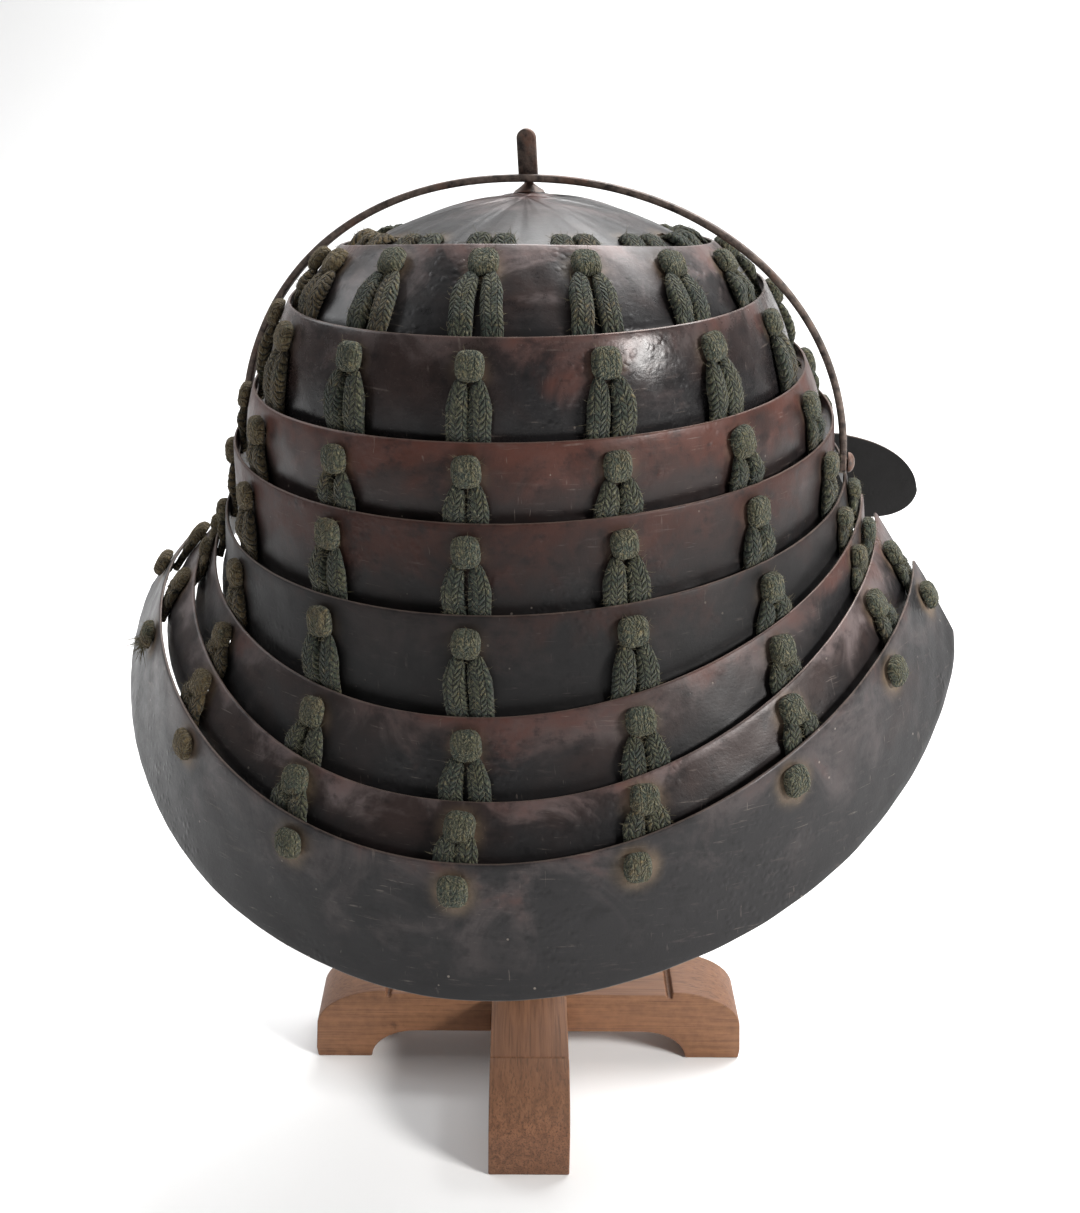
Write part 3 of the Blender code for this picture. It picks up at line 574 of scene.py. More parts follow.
@dataclass(frozen=True)
class Braid:
    """Faded braided silk: small slanted stitches in dark green, brown and ochre."""

    name: str
    seed: float
    brown: float

    def mix(self) -> bpy.types.Material:
        """Build the material, which reads the marks along, across, fuzz and felt."""
        bench = Bench(self.name)
        place = bench.place(self.seed)
        along, across, fuzz, felt = (bench.mark(name) for name in ("along", "across", "fuzz", "felt"))
        fold = bench.maths("PINGPONG", across + 40.0 * PLEAT_WIDTH, PLEAT_WIDTH / 2)
        wander = bench.noise(place, 2.2, 3.0, 0.6)
        turn = (along + fold * STITCH_SLANT + wander * (2.4 + felt * 3.6)) * (math.pi / STITCH_PITCH)
        ridge = bench.maths("ABSOLUTE", bench.maths("SINE", turn)) ** 0.7
        groove = fold.step(0.0, 0.28) * (PLEAT_WIDTH / 2 - fold).step(0.0, 0.28)
        crest = ridge * (0.35 + groove * 0.65)
        fibre = bench.noise(bench.place(self.seed, (1.0, 1.0, 0.35)), 0.55, 4.0, 0.75)
        tint = bench.noise(place, 9.0, 4.0, 0.7)
        flick = bench.noise(bench.place(self.seed + 17.0), 1.7, 2.0, 0.6)

        age = bench.noise(bench.place(self.seed + 57.0), 15.0, 2.0, 0.5)
        brown = (age * 0.55 + flick * 0.25 + tint * 0.2 + self.brown - 0.5).step(0.44, 0.58)
        base = bench.coats(
            bench.mix(tint.step(0.38, 0.62), paint(66, 68, 52), paint(56, 66, 58)),
            (brown * 0.8, (98, 80, 54)),
            (flick.step(0.58, 0.72) * 0.4, (136, 120, 84)),
            # painted shade in the grooves between stitches and pleats
            (crest.step(0.85, 0.1) * (0.95 - felt * 0.5), (9, 10, 8)),
            (fibre.step(0.52, 0.72) * 0.6, (166, 160, 132)),
            (fibre.step(0.47, 0.28) * 0.6, (18, 19, 16)),
            ((1.0 - felt) * (0.12 + tint.step(0.4, 0.62) * 0.3), (19, 22, 18)),
            (felt * fibre.step(0.42, 0.74) * 0.8, (112, 104, 80)),
            (fuzz * 0.6, (120, 112, 88)),
        )
        return bench.finish(
            Base_Color=base,
            Roughness=0.88,
            Normal=bench.bump(crest * 0.75 + fibre * 0.4, 1.3),
            Sheen_Weight=0.08,
            Specular_IOR_Level=0.2,
        )


@dataclass(frozen=True)
class Wood:
    """Brown stained wood whose grain runs along the piece."""

    name: str
    seed: float
    turn_deg: float
    upright: bool = False

    def mix(self) -> bpy.types.Material:
        """Build the material, which reads the mark edge."""
        bench = Bench(self.name)
        lengthways = (1.0, 1.0, 0.06) if self.upright else (0.06, 1.0, 1.0)
        streaks = (1.0, 1.0, 0.02) if self.upright else (0.02, 1.0, 1.0)
        place = bench.place(self.seed)
        grain = bench.noise(bench.place(self.seed, lengthways, self.turn_deg), 2.6, 5.0, 0.62, 0.8)
        pores = bench.noise(bench.place(self.seed + 9.0, streaks, self.turn_deg), 0.7, 3.0, 0.6)
        broad = bench.noise(place, 26.0, 4.0, 0.55)
        cloud = bench.noise(place, 4.0, 5.0, 0.65)
        edge = bench.mark("edge")
        normal = bench.node("ShaderNodeNewGeometry", {}, {}, "Normal")
        painted_top_light = bench.node("ShaderNodeSeparateXYZ", {}, {0: normal}, "Z")
        base = bench.coats(
            bench.mix(grain.step(0.3, 0.7), paint(92, 60, 40), paint(128, 88, 62)),
            (broad.step(0.35, 0.7) * 0.5, (106, 72, 52)),
            (pores.step(0.5, 0.36) * 0.6, (58, 36, 24)),
            # painted light: faces that point up are paler, as if lit from above
            (painted_top_light.step(0.5, 0.9) * (0.1 + cloud * 0.25), (118, 88, 66)),
            ((edge + cloud * 0.6).step(0.6, 1.2) * 0.55, (158, 114, 80)),
            ((cloud * 0.5 + broad * 0.5).step(0.42, 0.3) * 0.5, (68, 44, 32)),
        )
        return bench.finish(
            Base_Color=base,
            Roughness=0.5 + cloud * 0.2,
            Normal=bench.bump(grain * 0.5 + pores * 0.5, 0.22),
            Specular_IOR_Level=0.4,
        )


# The helmet's shape


@dataclass(frozen=True)
class Ring:
    """A plate's top edge, in shares of the bowl's sizes and of the guard's drop."""

    name: str
    width: float
    length: float
    level: float
    fall: float
    sag: float
    roll_deg: float
    square: float
    bulge: float
    ends_deg: tuple[float, float] | None
    fan: float
    end_column_deg: float | None


RINGS = (
    Ring("bowl_ring_1", 0.597, 0.563, 0.909, -0.076, -0.034, 0.0, 2.00, 1.2, None, 1.00, None),
    Ring("bowl_ring_2", 0.761, 0.836, 0.736, -0.059, -0.004, -0.5, 2.14, 1.4, None, 1.00, None),
    Ring("bowl_ring_3", 0.904, 0.936, 0.424, -0.034, -0.017, 0.0, 2.05, 0.8, None, 1.00, None),
    Ring("brow_ring", 1.000, 1.000, 0.208, 0.000, -0.018, 0.0, 1.95, 0.0, None, 1.00, None),
    Ring("neck_lame_1", 1.046, 1.066, -0.030, 0.030, -0.008, 0.7, 2.00, 0.0, (-22.0, -22.0), 1.00, 88.0),
    Ring("neck_lame_2", 1.102, 1.143, -0.115, 0.085, 0.105, 1.7, 2.00, 0.0, (-1.0, -1.0), 0.98, 84.0),
    Ring("neck_lame_3", 1.152, 1.240, -0.190, 0.018, 0.290, 0.8, 2.15, 0.0, (-4.0, -3.0), 0.94, 86.0),
    Ring("neck_lame_4", 1.283, 1.346, -0.280, 0.020, 0.320, 0.0, 2.06, 0.0, (0.5, 2.5), 0.87, 84.5),
)
RIM = Ring("rim", 1.448, 1.407, -0.466, 0.576, -0.039, -1.0, 1.92, 0.0, None, 1.00, None)
CROWN = -1
BROW = 3
LAST = len(RINGS) - 1


@dataclass(frozen=True)
class Bowl:
    """The faces of the plates, worked out for many places at once, in millimetres."""

    half_width: float = 106.4
    half_length: float = 113.7
    height: float = 88.0
    guard_drop: float = 118.0
    cord_room: float = 3.4
    crown_rise: float = 15.0
    overlap: float = 7.0
    open_front: float = math.sin(math.radians(-24.0))
    hole_depth: float = 8.5
    hole_share: float = 0.46
    crown_inset: float = 10.5
    back_step_deg: float = 25.7
    front_step_deg: float = 23.5

    def edge(self, ring: Ring, angle: Array) -> Array:
        """Points of a ring's top edge at angles from +X, with the back at 90."""
        turn = np.radians(angle)
        across = signed_power(np.cos(turn), 2.0 / ring.square)
        back = signed_power(np.sin(turn), 2.0 / ring.square)
        level = ring.level * (self.height if ring.level > 0 else self.guard_drop)
        drop = ring.fall * back + ring.sag * np.maximum(back, 0.0) ** 2
        z = level - drop * self.guard_drop
        x = ring.width * self.half_width * across
        y = ring.length * self.half_length * back
        return turned(np.stack((x, y, z), -1), ring.roll_deg, "Y")

    def tuck(self, index: int, angle: Array, rounds: int = 2) -> Array:
        """Where a plate passes behind the top edge of the plate below it."""
        if index == LAST:
            return self.edge(RIM, angle)
        below = RINGS[index + 1]
        after = RINGS[index + 2] if index + 2 <= LAST else RIM
        foot = self.tuck(index + 1, angle, rounds - 1) if rounds > 1 else self.edge(after, angle)
        top = self.edge(below, angle)
        along = self.edge(below, angle + 0.5) - self.edge(below, angle - 0.5)
        return top - unit(np.cross(foot - top, along)) * (WALL + self.cord_room)

    def run(self, index: int, angle: Array) -> Array:
        """The line down a plate's face to where the next plate hides it."""
        return self.tuck(index, angle) - self.edge(RINGS[index], angle)

    def reach(self, index: int, angle: Array) -> Array:
        """Length of a face down to where the next plate hides it."""
        if index == CROWN:
            return np.linalg.norm(self.tuck(CROWN, angle)[..., :2], axis=-1)
        return np.linalg.norm(self.run(index, angle), axis=-1)

    def face(self, index: int, angle: Array, depth: Array) -> Array:
        """Points of a plate's outer face, at depths below its top edge or from the apex."""
        if index == CROWN:
            return self.dome(angle, depth)
        ring = RINGS[index]
        run = self.run(index, angle)
        length = np.linalg.norm(run, axis=-1)
        share = depth / length if index == LAST else np.minimum(depth / length, 1.0)
        swell = ring.bulge * np.sin(np.pi * np.clip(share, 0.0, 1.0))
        along = self.edge(ring, angle + 0.5) - self.edge(ring, angle - 0.5)
        outward = unit(np.stack((along[..., 1], -along[..., 0], np.zeros_like(length)), -1))
        points = self.edge(ring, angle) + run * share[..., None] + outward * swell[..., None]
        if index == LAST:
            return points
        hidden = np.maximum(depth - length, 0.0)
        way = self.run(index + 1, angle)
        if RINGS[index + 1].ends_deg is not None:
            covered = np.sin(np.radians(angle)) > self.open_front
            way = np.where(covered[..., None], way, run)
        return points + unit(way) * hidden[..., None]

    def dome(self, angle: Array, depth: Array) -> Array:
        """Points of the crown's outer face, at depths from its apex."""
        rim = self.tuck(CROWN, angle)
        reach = np.linalg.norm(rim[..., :2], axis=-1)
        apex = self.height * RINGS[0].level + self.crown_rise
        share = np.minimum(depth / reach, 1.0)
        z = apex - (apex - rim[..., 2]) * share**2
        points = np.stack((rim[..., 0] * share, rim[..., 1] * share, z), -1)
        return points + unit(self.run(0, angle)) * np.maximum(depth - reach, 0.0)[..., None]

    def frame(self, index: int, angle: Array, depth: Array) -> tuple[Array, Array, Array, Array]:
        """Point, outward normal, way down and way round of a face."""
        angle, depth = np.broadcast_arrays(np.asarray(angle, float), np.asarray(depth, float))
        points = self.face(index, angle, depth)
        down = unit(self.face(index, angle, depth + 0.2) - self.face(index, angle, depth - 0.2))
        round_way = unit(self.face(index, angle + 0.2, depth) - self.face(index, angle - 0.2, depth))
        return points, unit(np.cross(down, round_way)), down, round_way

    def hole(self, index: int, angle: Array) -> Array:
        """Depth of the middle of a lacing hole."""
        if index == CROWN:
            return self.reach(CROWN, angle) - self.crown_inset
        return np.minimum(self.hole_depth, self.hole_share * self.reach(index, angle))

    def degrees_per_mm(self, index: int, angle: float, depth: float) -> float:
        """How far an angle turns for a millimetre round a face."""
        ends = self.face(index, np.array((angle - 0.5, angle + 0.5)), np.full(2, depth))
        return 1.0 / float(np.linalg.norm(ends[1] - ends[0]))

    def column(self, index: int, number: int) -> float:
        """Angle of a lacing column, with number 0 at the back and 7 at the front."""
        if number > 3:
            return 270.0 + (number - 7) * self.front_step_deg
        return 90.0 + number * self.back_step_deg * (1.0 if index == CROWN else RINGS[index].fan)

    def columns(self, index: int) -> list[float]:
        """Angles of all lacing columns of a plate, in order."""
        if index <= BROW:
            return [self.column(index, number) for number in range(-3, 11)]
        end = RINGS[index].end_column_deg
        return [90.0 - end, *(self.column(index, number) for number in range(-3, 4)), 90.0 + end]


BOWL = Bowl()


@dataclass
class Plates:
    """The crown, the rings of the bowl and the lames of the neck guard."""

    grid: float = 1.55
    hole_width: float = 6.4
    hole_height: float = 2.6
    edge_round: float = 0.42
    edge_reach: float = 0.8
    edge_steps: tuple[float, ...] = (0.0, 0.22, 0.55)
    wave: float = 0.3
    dust_reach: float = 7.0
    wing_bend_radius: float = 6.0
    wing_reach: float = 31.6
    wing_sweep_deg: float = 98.0
    wing_top: float = -4.0
    wing_bottom: float = 37.0
    wing_droop: float = 7.2
    wing_steps: int = 22
    # depth mark of the wings, above every plate's, which paints them dark as shade
    wing_painted_shade: float = 2.0

    def stations(self, index: int) -> tuple[Array, Array]:
        """Angles of the grid's columns, and which cells hold a lacing hole."""
        columns = BOWL.columns(index)
        closed = index <= BROW
        angles: list[float] = []
        holes: list[bool] = []
        if not closed:
            start = RINGS[index].ends_deg[0]
            columns = [start, *columns, 180.0 - start]
        for number, angle in enumerate(columns):
            is_end = not closed and number in (0, len(columns) - 1)
            hole = float(BOWL.hole(index, np.array(angle)))
            rate = BOWL.degrees_per_mm(index, angle, hole)
            half = 0.0 if is_end else self.hole_width / 2 * rate
            if is_end:
                angles.append(angle)
            else:
                angles += [angle - half, angle, angle + half]
                holes += [True, True]
            if closed or number + 1 < len(columns):
                after = columns[(number + 1) % len(columns)]
                after += 360.0 if after < angle else 0.0
                after_end = not closed and number + 1 == len(columns) - 1
                first, last = angle + half, after - (0.0 if after_end else self.hole_width / 2 * rate)
                count = max(int(round((last - first) / rate / self.grid)), 2)
                between = np.linspace(first, last, count + 1)[1:-1]
                angles += between.tolist()
                holes += [False] * count
        return np.array(angles), np.array(holes)

    def rows(self, index: int, angle: Array) -> tuple[Array, int]:
        """Depths of the grid's rows at each angle, and the row of the holes."""
        hole = BOWL.hole(index, angle)
        reach = BOWL.reach(index, angle)
        upper = hole - self.hole_height / 2
        lower = hole + self.hole_height / 2
        rise = self.edge_reach
        if index == CROWN:
            parts = [upper * share for share in np.linspace(0.012, 1.0, 26)]
        else:
            parts = [0.0 * hole + rise * share for share in self.edge_steps]
            parts += [rise + (upper - rise) * share for share in np.linspace(0.0, 1.0, 4)]
        hole_row = len(parts) - 1
        steps = 14 if index == LAST else 9
        if index == LAST:
            parts += [lower + (reach - rise - lower) * share for share in np.linspace(0.0, 1.0, steps)]
            parts += [reach - rise * share for share in reversed(self.edge_steps)]
        else:
            parts += [lower + (reach - lower) * share for share in np.linspace(0.0, 1.0, steps)]
            parts += [reach + BOWL.overlap * share for share in (0.4, 0.8, 0.97, 1.0)]
        return np.stack(parts, -1), hole_row

    def waves(self, points: Array, seed: float) -> Array:
        """Low hammered waves, in millimetres, at points of a plate."""
        x, y, z = points[..., 0], points[..., 1], points[..., 2]
        turn = np.arctan2(y, x)
        long = np.sin(turn * 9 + seed) + 0.6 * np.sin(turn * 17 + seed * 2.3 + z * 0.11)
        short = 0.35 * np.sin(turn * 41 + seed * 3.1 + z * 0.3) + 0.25 * np.sin(turn * 71 - z * 0.5 + seed)
        return self.wave * 0.5 * (long + short)

    def build(self, index: int, finish: bpy.types.Material) -> bpy.types.Object:
        """Make one plate.

        Args:
            index: The plate's number from the top ring, or CROWN.
            finish: Its material.

        Returns:
            The piece that stands for the plate's node.
        """
        name = "crown_plate" if index == CROWN else RINGS[index].name
        closed = index <= BROW
        stations, holes = self.stations(index)
        depths, hole_row = self.rows(index, stations)
        angles = np.repeat(stations[:, None], depths.shape[1], 1)
        if not closed:
            top, bottom = RINGS[index].ends_deg
            share = depths / depths[:, -1:]
            first = BOWL.columns(index)[0]
            lead = np.clip((first - stations) / (first - top), 0.0, 1.0)[:, None]
            angles = angles + (bottom - top) * share * lead
            lead = np.clip((stations - (180.0 - first)) / (first - top), 0.0, 1.0)[:, None]
            angles = angles - (bottom - top) * share * lead
        points, normal, _, _ = BOWL.frame(index, angles, depths)
        total = depths[:, -1:]
        free = np.minimum(depths if index != CROWN else total - depths, total - depths)
        worn = depths if index != CROWN else total * 0 + 9.0
        if index == LAST:
            worn = np.minimum(worn, total - depths)
        pull = self.edge_round * (1.0 - np.clip(free / self.edge_reach, 0.0, 1.0)) ** 2
        wave = self.waves(points, 1.7 * index) * smooth(depths, -4.0, 6.0)
        centre = points + normal * (wave[..., None] - WALL / 2)
        half = (WALL / 2 - pull)[..., None]
        outer, inner = centre + normal * half, centre - normal * half
        solid = np.ones((len(holes), depths.shape[1] - 1), bool)
        solid[holes, hole_row] = False

        knots = np.array(BOWL.columns(index))
        spots = BOWL.face(index, knots, BOWL.hole(index, knots) + 1.0)
        far = np.linalg.norm(points[:, :, None, :] - spots, axis=-1)
        dust = np.exp(-((far / self.dust_reach) ** 2)).sum(-1)
        edge = np.clip(1.0 - worn / 0.9, 0.0, 1.0)
        depth = np.clip(depths / np.maximum(BOWL.reach(index, stations)[:, None], 1.0), 0.0, 1.2)
        if index == BROW + 1:
            outer, inner, solid, edge, dust, depth = self.with_wings(outer, inner, solid, edge, dust, depth)
        clay = Clay()
        clay.shell(settle(outer), settle(inner), solid, closed, edge=edge, dust=dust, depth=depth)
        if index == CROWN:
            self.close_apex(clay, outer, inner)
        return clay.fire(f"{name}_forged", finish, [name])

    def close_apex(self, clay: Clay, outer: Array, inner: Array) -> None:
        """Fill the small opening that the crown's grid leaves at its apex."""
        columns = outer.shape[0]
        for grid, way in ((outer, 1), (inner, -1)):
            rim = grid[:, 0]
            points = np.concatenate((rim, rim.mean(0, keepdims=True)))
            faces = [[i, (i + 1) % columns, columns][::way] for i in range(columns)]
            clay.add(settle(points), faces, depth=np.full(len(points), 0.3))

    def with_wings(self, outer: Array, inner: Array, solid: Array, *marks: Array) -> tuple[Array, ...]:
        """Add the turned-back wings at both ends of the top lame.

        Args:
            outer: Points of the lame's outer face, by column and row.
            inner: Points of its inner face.
            solid: Which cells of the grid are there.
            marks: The marks edge, dust and depth of the points.

        Returns:
            The same arrays with the wings' columns before and after.
        """
        for side in (1, -1):
            wing_outer, wing_inner = self.wing(side)
            count = len(wing_outer)
            turn = 1 if side < 0 else -1
            joined = []
            pad = np.ones((count, solid.shape[1]), bool)
            lobe = np.linspace(0.0, 1.0, count)[:, None]
            row = np.linspace(0.0, 1.0, outer.shape[1])[None, :]
            rim = np.maximum(np.exp(-((1 - lobe) * 30.0)), np.exp(-np.minimum(row, 1 - row) * 14.0))
            shape = wing_outer.shape[:2]
            # The wings' depth mark takes the wing value above, which paints them near black as shade; their
            # edge mark is a worn rim.
            wing_marks = (np.broadcast_to(rim, shape) * 0.95, np.zeros(shape), np.full(shape, self.wing_painted_shade))
            for whole, extra in zip((outer, inner, *marks), (wing_outer, wing_inner, *wing_marks)):
                parts = (extra[::turn], whole) if side > 0 else (whole, extra)
                joined.append(np.concatenate(parts))
            solid = np.concatenate((pad, solid) if side > 0 else (solid, pad))
            outer, inner, *rest = joined
            marks = tuple(rest)
        return (outer, inner, solid, *marks)

    def wing(self, side: int) -> tuple[Array, Array]:
        """Outer and inner points of one wing, from the lame's end to the wing's tip."""
        index = BROW + 1
        start = RINGS[index].ends_deg[0]
        angle = start if side > 0 else 180.0 - start
        depths = self.rows(index, np.array([angle]))[0][0]
        height = depths[-1]
        face = BOWL.face(index, np.full(len(depths), angle), depths)
        top = face[0]
        before = BOWL.edge(RINGS[index], np.array(angle + side * 1.0))
        heading = math.atan2(top[1] - before[1], top[0] - before[0])
        lean = (face - top) * (1.0, 1.0, 0.0)
        sweep = math.radians(self.wing_sweep_deg)
        steps = self.wing_steps
        place = np.array((top[0], top[1], 0.0))
        outer, inner = [], []
        for step in range(1, 2 * steps + 1):
            if step <= steps:
                heading += side * sweep / steps
                stride = self.wing_bend_radius * sweep / steps
                share = 0.0
            else:
                before_share, share = share, math.sin(math.pi / 2 * (step - steps) / steps)
                stride = self.wing_reach * (share - before_share)
            place = place + np.array((math.cos(heading), math.sin(heading), 0.0)) * stride
            lobe = smooth(np.array(step / steps), 0.0, 1.0) if step <= steps else 1.0
            tip = share * 0.998
            roundness = math.sqrt(1.0 - tip**2.6)
            high = top[2] + self.wing_top * lobe
            low_and_painted_wing_shade = top[2] - height - (self.wing_bottom - height) * lobe
            middle, half = (high + low_and_painted_wing_shade) / 2 - self.wing_droop * tip, (high - low_and_painted_wing_shade) / 2 * roundness
            outward = np.array((-math.sin(heading), math.cos(heading), 0.0)) * side
            column = np.tile(place, (len(depths), 1))
            column[:, 2] = middle + half - 2 * half * depths / height
            column += lean * (1.0 - 0.8 * lobe)
            outer.append(column)
            inner.append(column - outward * WALL)
        return np.array(outer), np.array(inner)


@dataclass
class Peak:
    """The small front peak, riveted on under the brow ring."""

    spread_deg: float = 56.0
    reach: float = 29.0
    fall: float = 15.0
    flange: float = 5.0
    brim_spread_deg: float = 59.0
    brim_arch: float = 1.2
    edge_ease: float = 0.35
    columns: int = 150

    def build(self, finish: bpy.types.Material) -> bpy.types.Object:
        """Make the peak as one bent plate."""
        off = np.linspace(-self.spread_deg, self.spread_deg, self.columns)
        angle = 270.0 + off
        run = BOWL.reach(BROW, angle)
        height = run + BOWL.overlap
        outer, inner = [], []
        for share in (0.0, 0.15, 0.5, 1.0):
            depth = run - self.flange + (height - run + self.flange) * share
            foot, normal, down, _ = BOWL.frame(BROW, angle, depth)
            pull = self.edge_ease if share == 0.0 else 0.0
            outer.append(foot + normal * (SEAT_GAP + WALL - pull))
            inner.append(foot + normal * (SEAT_GAP + pull))
        reach_share = 0.12 + 0.88 * np.sqrt(np.maximum(1.0 - (off / self.brim_spread_deg) ** 2, 0.0))
        reach = (normal * self.reach + down * self.fall) * reach_share[:, None]
        brim_up = unit(np.cross(reach, np.cross(normal, down))) * WALL
        brim_up *= np.sign(brim_up[:, 2:])
        root = outer[-1]
        under = inner[-1] = inner[-1] + down * WALL
        for share in (0.06, 0.2, 0.4, 0.6, 0.8, 0.96, 1.0):
            arch = brim_up * (self.brim_arch * math.sin(math.pi * share))
            pull = self.edge_ease if share == 1.0 else 0.0
            outer.append(root + reach * share + arch - brim_up * pull)
            end = root + reach - brim_up * (1.0 - pull)
            inner.append(under * (1.0 - share) + end * share + arch)
        rows = len(outer)
        edge = np.broadcast_to(np.clip(np.linspace(-9.0, 1.0, rows), 0.0, 1.0), (self.columns, rows))
        clay = Clay()
        solid = np.ones((self.columns - 1, rows - 1), bool)
        depth = np.full((self.columns, rows), 0.5)
        grids = settle(np.stack(outer, 1)), settle(np.stack(inner, 1))
        clay.shell(*grids, solid, False, edge=edge, dust=0.0 * depth, depth=depth)
        return clay.fire("peak_forged", finish, ["peak"])


@dataclass
class Lacing:
    """Columns of braided cord: a square knot on each plate, and two strands below it."""

    strand_width: float = 7.6
    strand_thickness: float = 4.3
    strand_gap: float = 2.1
    strand_spread: float = 1.6
    tucked_thickness: float = 2.7
    lift: float = 0.2
    spacing: float = 0.5
    sides: int = 20
    knot_width: float = 9.5
    knot_height: float = 9.8
    knot_front: float = 3.4
    knot_back: float = 1.0
    knot_rows: int = 18
    knot_sides: int = 26
    neck_half_width: float = 3.6
    neck_half_height: float = 0.9
    neck_levels: tuple[float, ...] = (-2.1, -1.0, 0.8)
    relief: float = 0.28
    fuzz_count: int = 46
    fuzz_radius: float = 0.075
    fray_count: int = 90
    fray_radius: float = 0.16
    seed: int = 700

    def stops(self) -> list[list[tuple[int, float]]]:
        """Every column as its plates and the angle that it has on each."""
        found = []
        for number in range(-3, 11):
            lowest = LAST if number <= 3 else BROW
            found.append([(index, BOWL.column(index, number)) for index in range(CROWN, lowest + 1)])
        for side in (-1, 1):
            guard = range(BROW + 1, LAST + 1)
            found.append([(index, 90.0 + side * RINGS[index].end_column_deg) for index in guard])
        return found

    def stitches(self, along: Array, across: Array) -> Array:
        """Height of the braid's slanted stitches, from 0 to 1."""
        fold = np.abs((across / PLEAT_WIDTH) % 1.0 - 0.5) * PLEAT_WIDTH
        ridge = np.abs(np.sin((along + fold * STITCH_SLANT) * np.pi / STITCH_PITCH)) ** 0.7
        return ridge * (0.5 + 0.5 * smooth(np.minimum(fold, PLEAT_WIDTH / 2 - fold), 0.0, 0.5))

    def strand(self, clay: Clay, index: int, angle: float, side: int, rng: np.random.Generator) -> None:
        """Add one strand from its hole to behind the next plate.

        Args:
            clay: Where it is added.
            index: The plate that it lies on.
            angle: The column's angle on that plate.
            side: Which of the pair it is, -1 or 1.
            rng: Source of small irregularities.
        """
        hole = float(BOWL.hole(index, np.array(angle)))
        reach = float(BOWL.reach(index, np.array(angle)))
        start = hole + (0.5 if index == CROWN else min(4.3, 0.3 * (reach - hole)))
        end = reach + BOWL.overlap
        visible = reach - start
        rows = max(int((end - start) / self.spacing), 12)
        depth = np.linspace(start, end, rows)
        travelled = depth - start
        open_share = np.clip(travelled / max(visible, 4.0), 0.0, 1.0)
        swell = np.sqrt(np.clip(travelled / min(0.75 * visible, 7.5), 0.0, 1.0))
        sway = rng.uniform(-0.35, 0.35) + 0.4 * np.sin(travelled * 0.25 + rng.uniform(0.0, 6.0))
        offset = side * (self.strand_gap + self.strand_spread * swell) + sway * open_share
        width = (self.strand_width * rng.uniform(0.9, 1.04)) * (0.42 + 0.58 * swell)
        tucked = smooth(depth, reach - 5.0, reach + 0.5)
        thick = self.strand_thickness * rng.uniform(0.88, 1.1) * (0.5 + 0.5 * swell)
        thick = thick * (1.0 - tucked) + self.tucked_thickness * tucked
        rate = BOWL.degrees_per_mm(index, angle, hole)
        face, normal, _, _ = BOWL.frame(index, angle + offset * rate, depth)
        if index == CROWN:
            rise = smooth(travelled, -0.5, 3.4)
            lift = (self.lift + thick / 2) * rise - 1.4 * (1.0 - rise)
        else:
            lift = self.lift + thick / 2
        way = unit(np.gradient(face, axis=0))
        across_way = unit(np.cross(normal, way))
        spin = around(self.sides)
        flat = signed_power(np.cos(spin), 0.8)[None, :] * (width / 2)[:, None]
        proud = signed_power(np.sin(spin), 0.85)[None, :] * (thick / 2)[:, None]
        along = np.broadcast_to(travelled[:, None] + rng.uniform(0.0, 9.0), flat.shape)
        outside = smooth(np.sin(spin), -0.1, 0.4)[None, :] * (1.0 - 0.6 * tucked[:, None])
        proud = proud + self.relief * (self.stitches(along, flat) - 0.5) * outside
        centre = face + normal * np.broadcast_to(lift, depth.shape)[:, None]
        rings = centre[:, None] + normal[:, None] * proud[..., None]
        rings = rings + across_way[:, None] * flat[..., None]
        clay.loft(settle(rings), along=along, across=flat)
        if index == CROWN or visible > 4.0:
            self.fuzz(clay, rings[: max(int(visible / self.spacing), 4)], normal, rng)

    def fuzz(self, clay: Clay, rings: Array, normal: Array, rng: np.random.Generator) -> None:
        """Add short loose fibres over the outer side of a strand."""
        rows, sides = rings.shape[:2]
        row = rng.integers(0, rows, self.fuzz_count)
        place = rng.integers(0, sides // 2 + 1, self.fuzz_count)
        root = rings[row, place]
        out = unit(root - rings[row].mean(1) + normal[row] * 0.5)
        way = unit(out + rng.normal(0.0, 0.7, out.shape))
        length = rng.uniform(0.8, 2.0, len(out))
        self.fibres(clay, root - out * 0.2, way, length, self.fuzz_radius, rng)

    def fibres(
        self,
        clay: Clay,
        root: Array,
        way: Array,
        length: Array,
        radius: float,
        rng: np.random.Generator,
    ) -> None:
        """Add thin pointed fibres.

        Args:
            clay: Where they are added.
            root: Where each starts.
            way: The direction in which each leaves.
            length: Length of each.
            radius: Radius at the root.
            rng: Source of their bends.
        """
        spin = around(3)
        for start, ahead, reach in zip(root, way, length):
            bend = rng.normal(0.0, 0.35, 3)
            side = unit(np.cross(ahead, (0.3, 0.5, 0.81)))
            other = np.cross(ahead, side)
            rings = []
            for share, thin in ((0.0, 1.0), (0.5, 0.8), (1.0, 0.25)):
                middle = start + ahead * reach * share + bend * reach * share**2
                loop = np.cos(spin)[:, None] * side + np.sin(spin)[:, None] * other
                rings.append(middle + loop * radius * thin)
            clay.loft(settle(np.array(rings)), along=np.zeros(1), fuzz=np.ones(1))

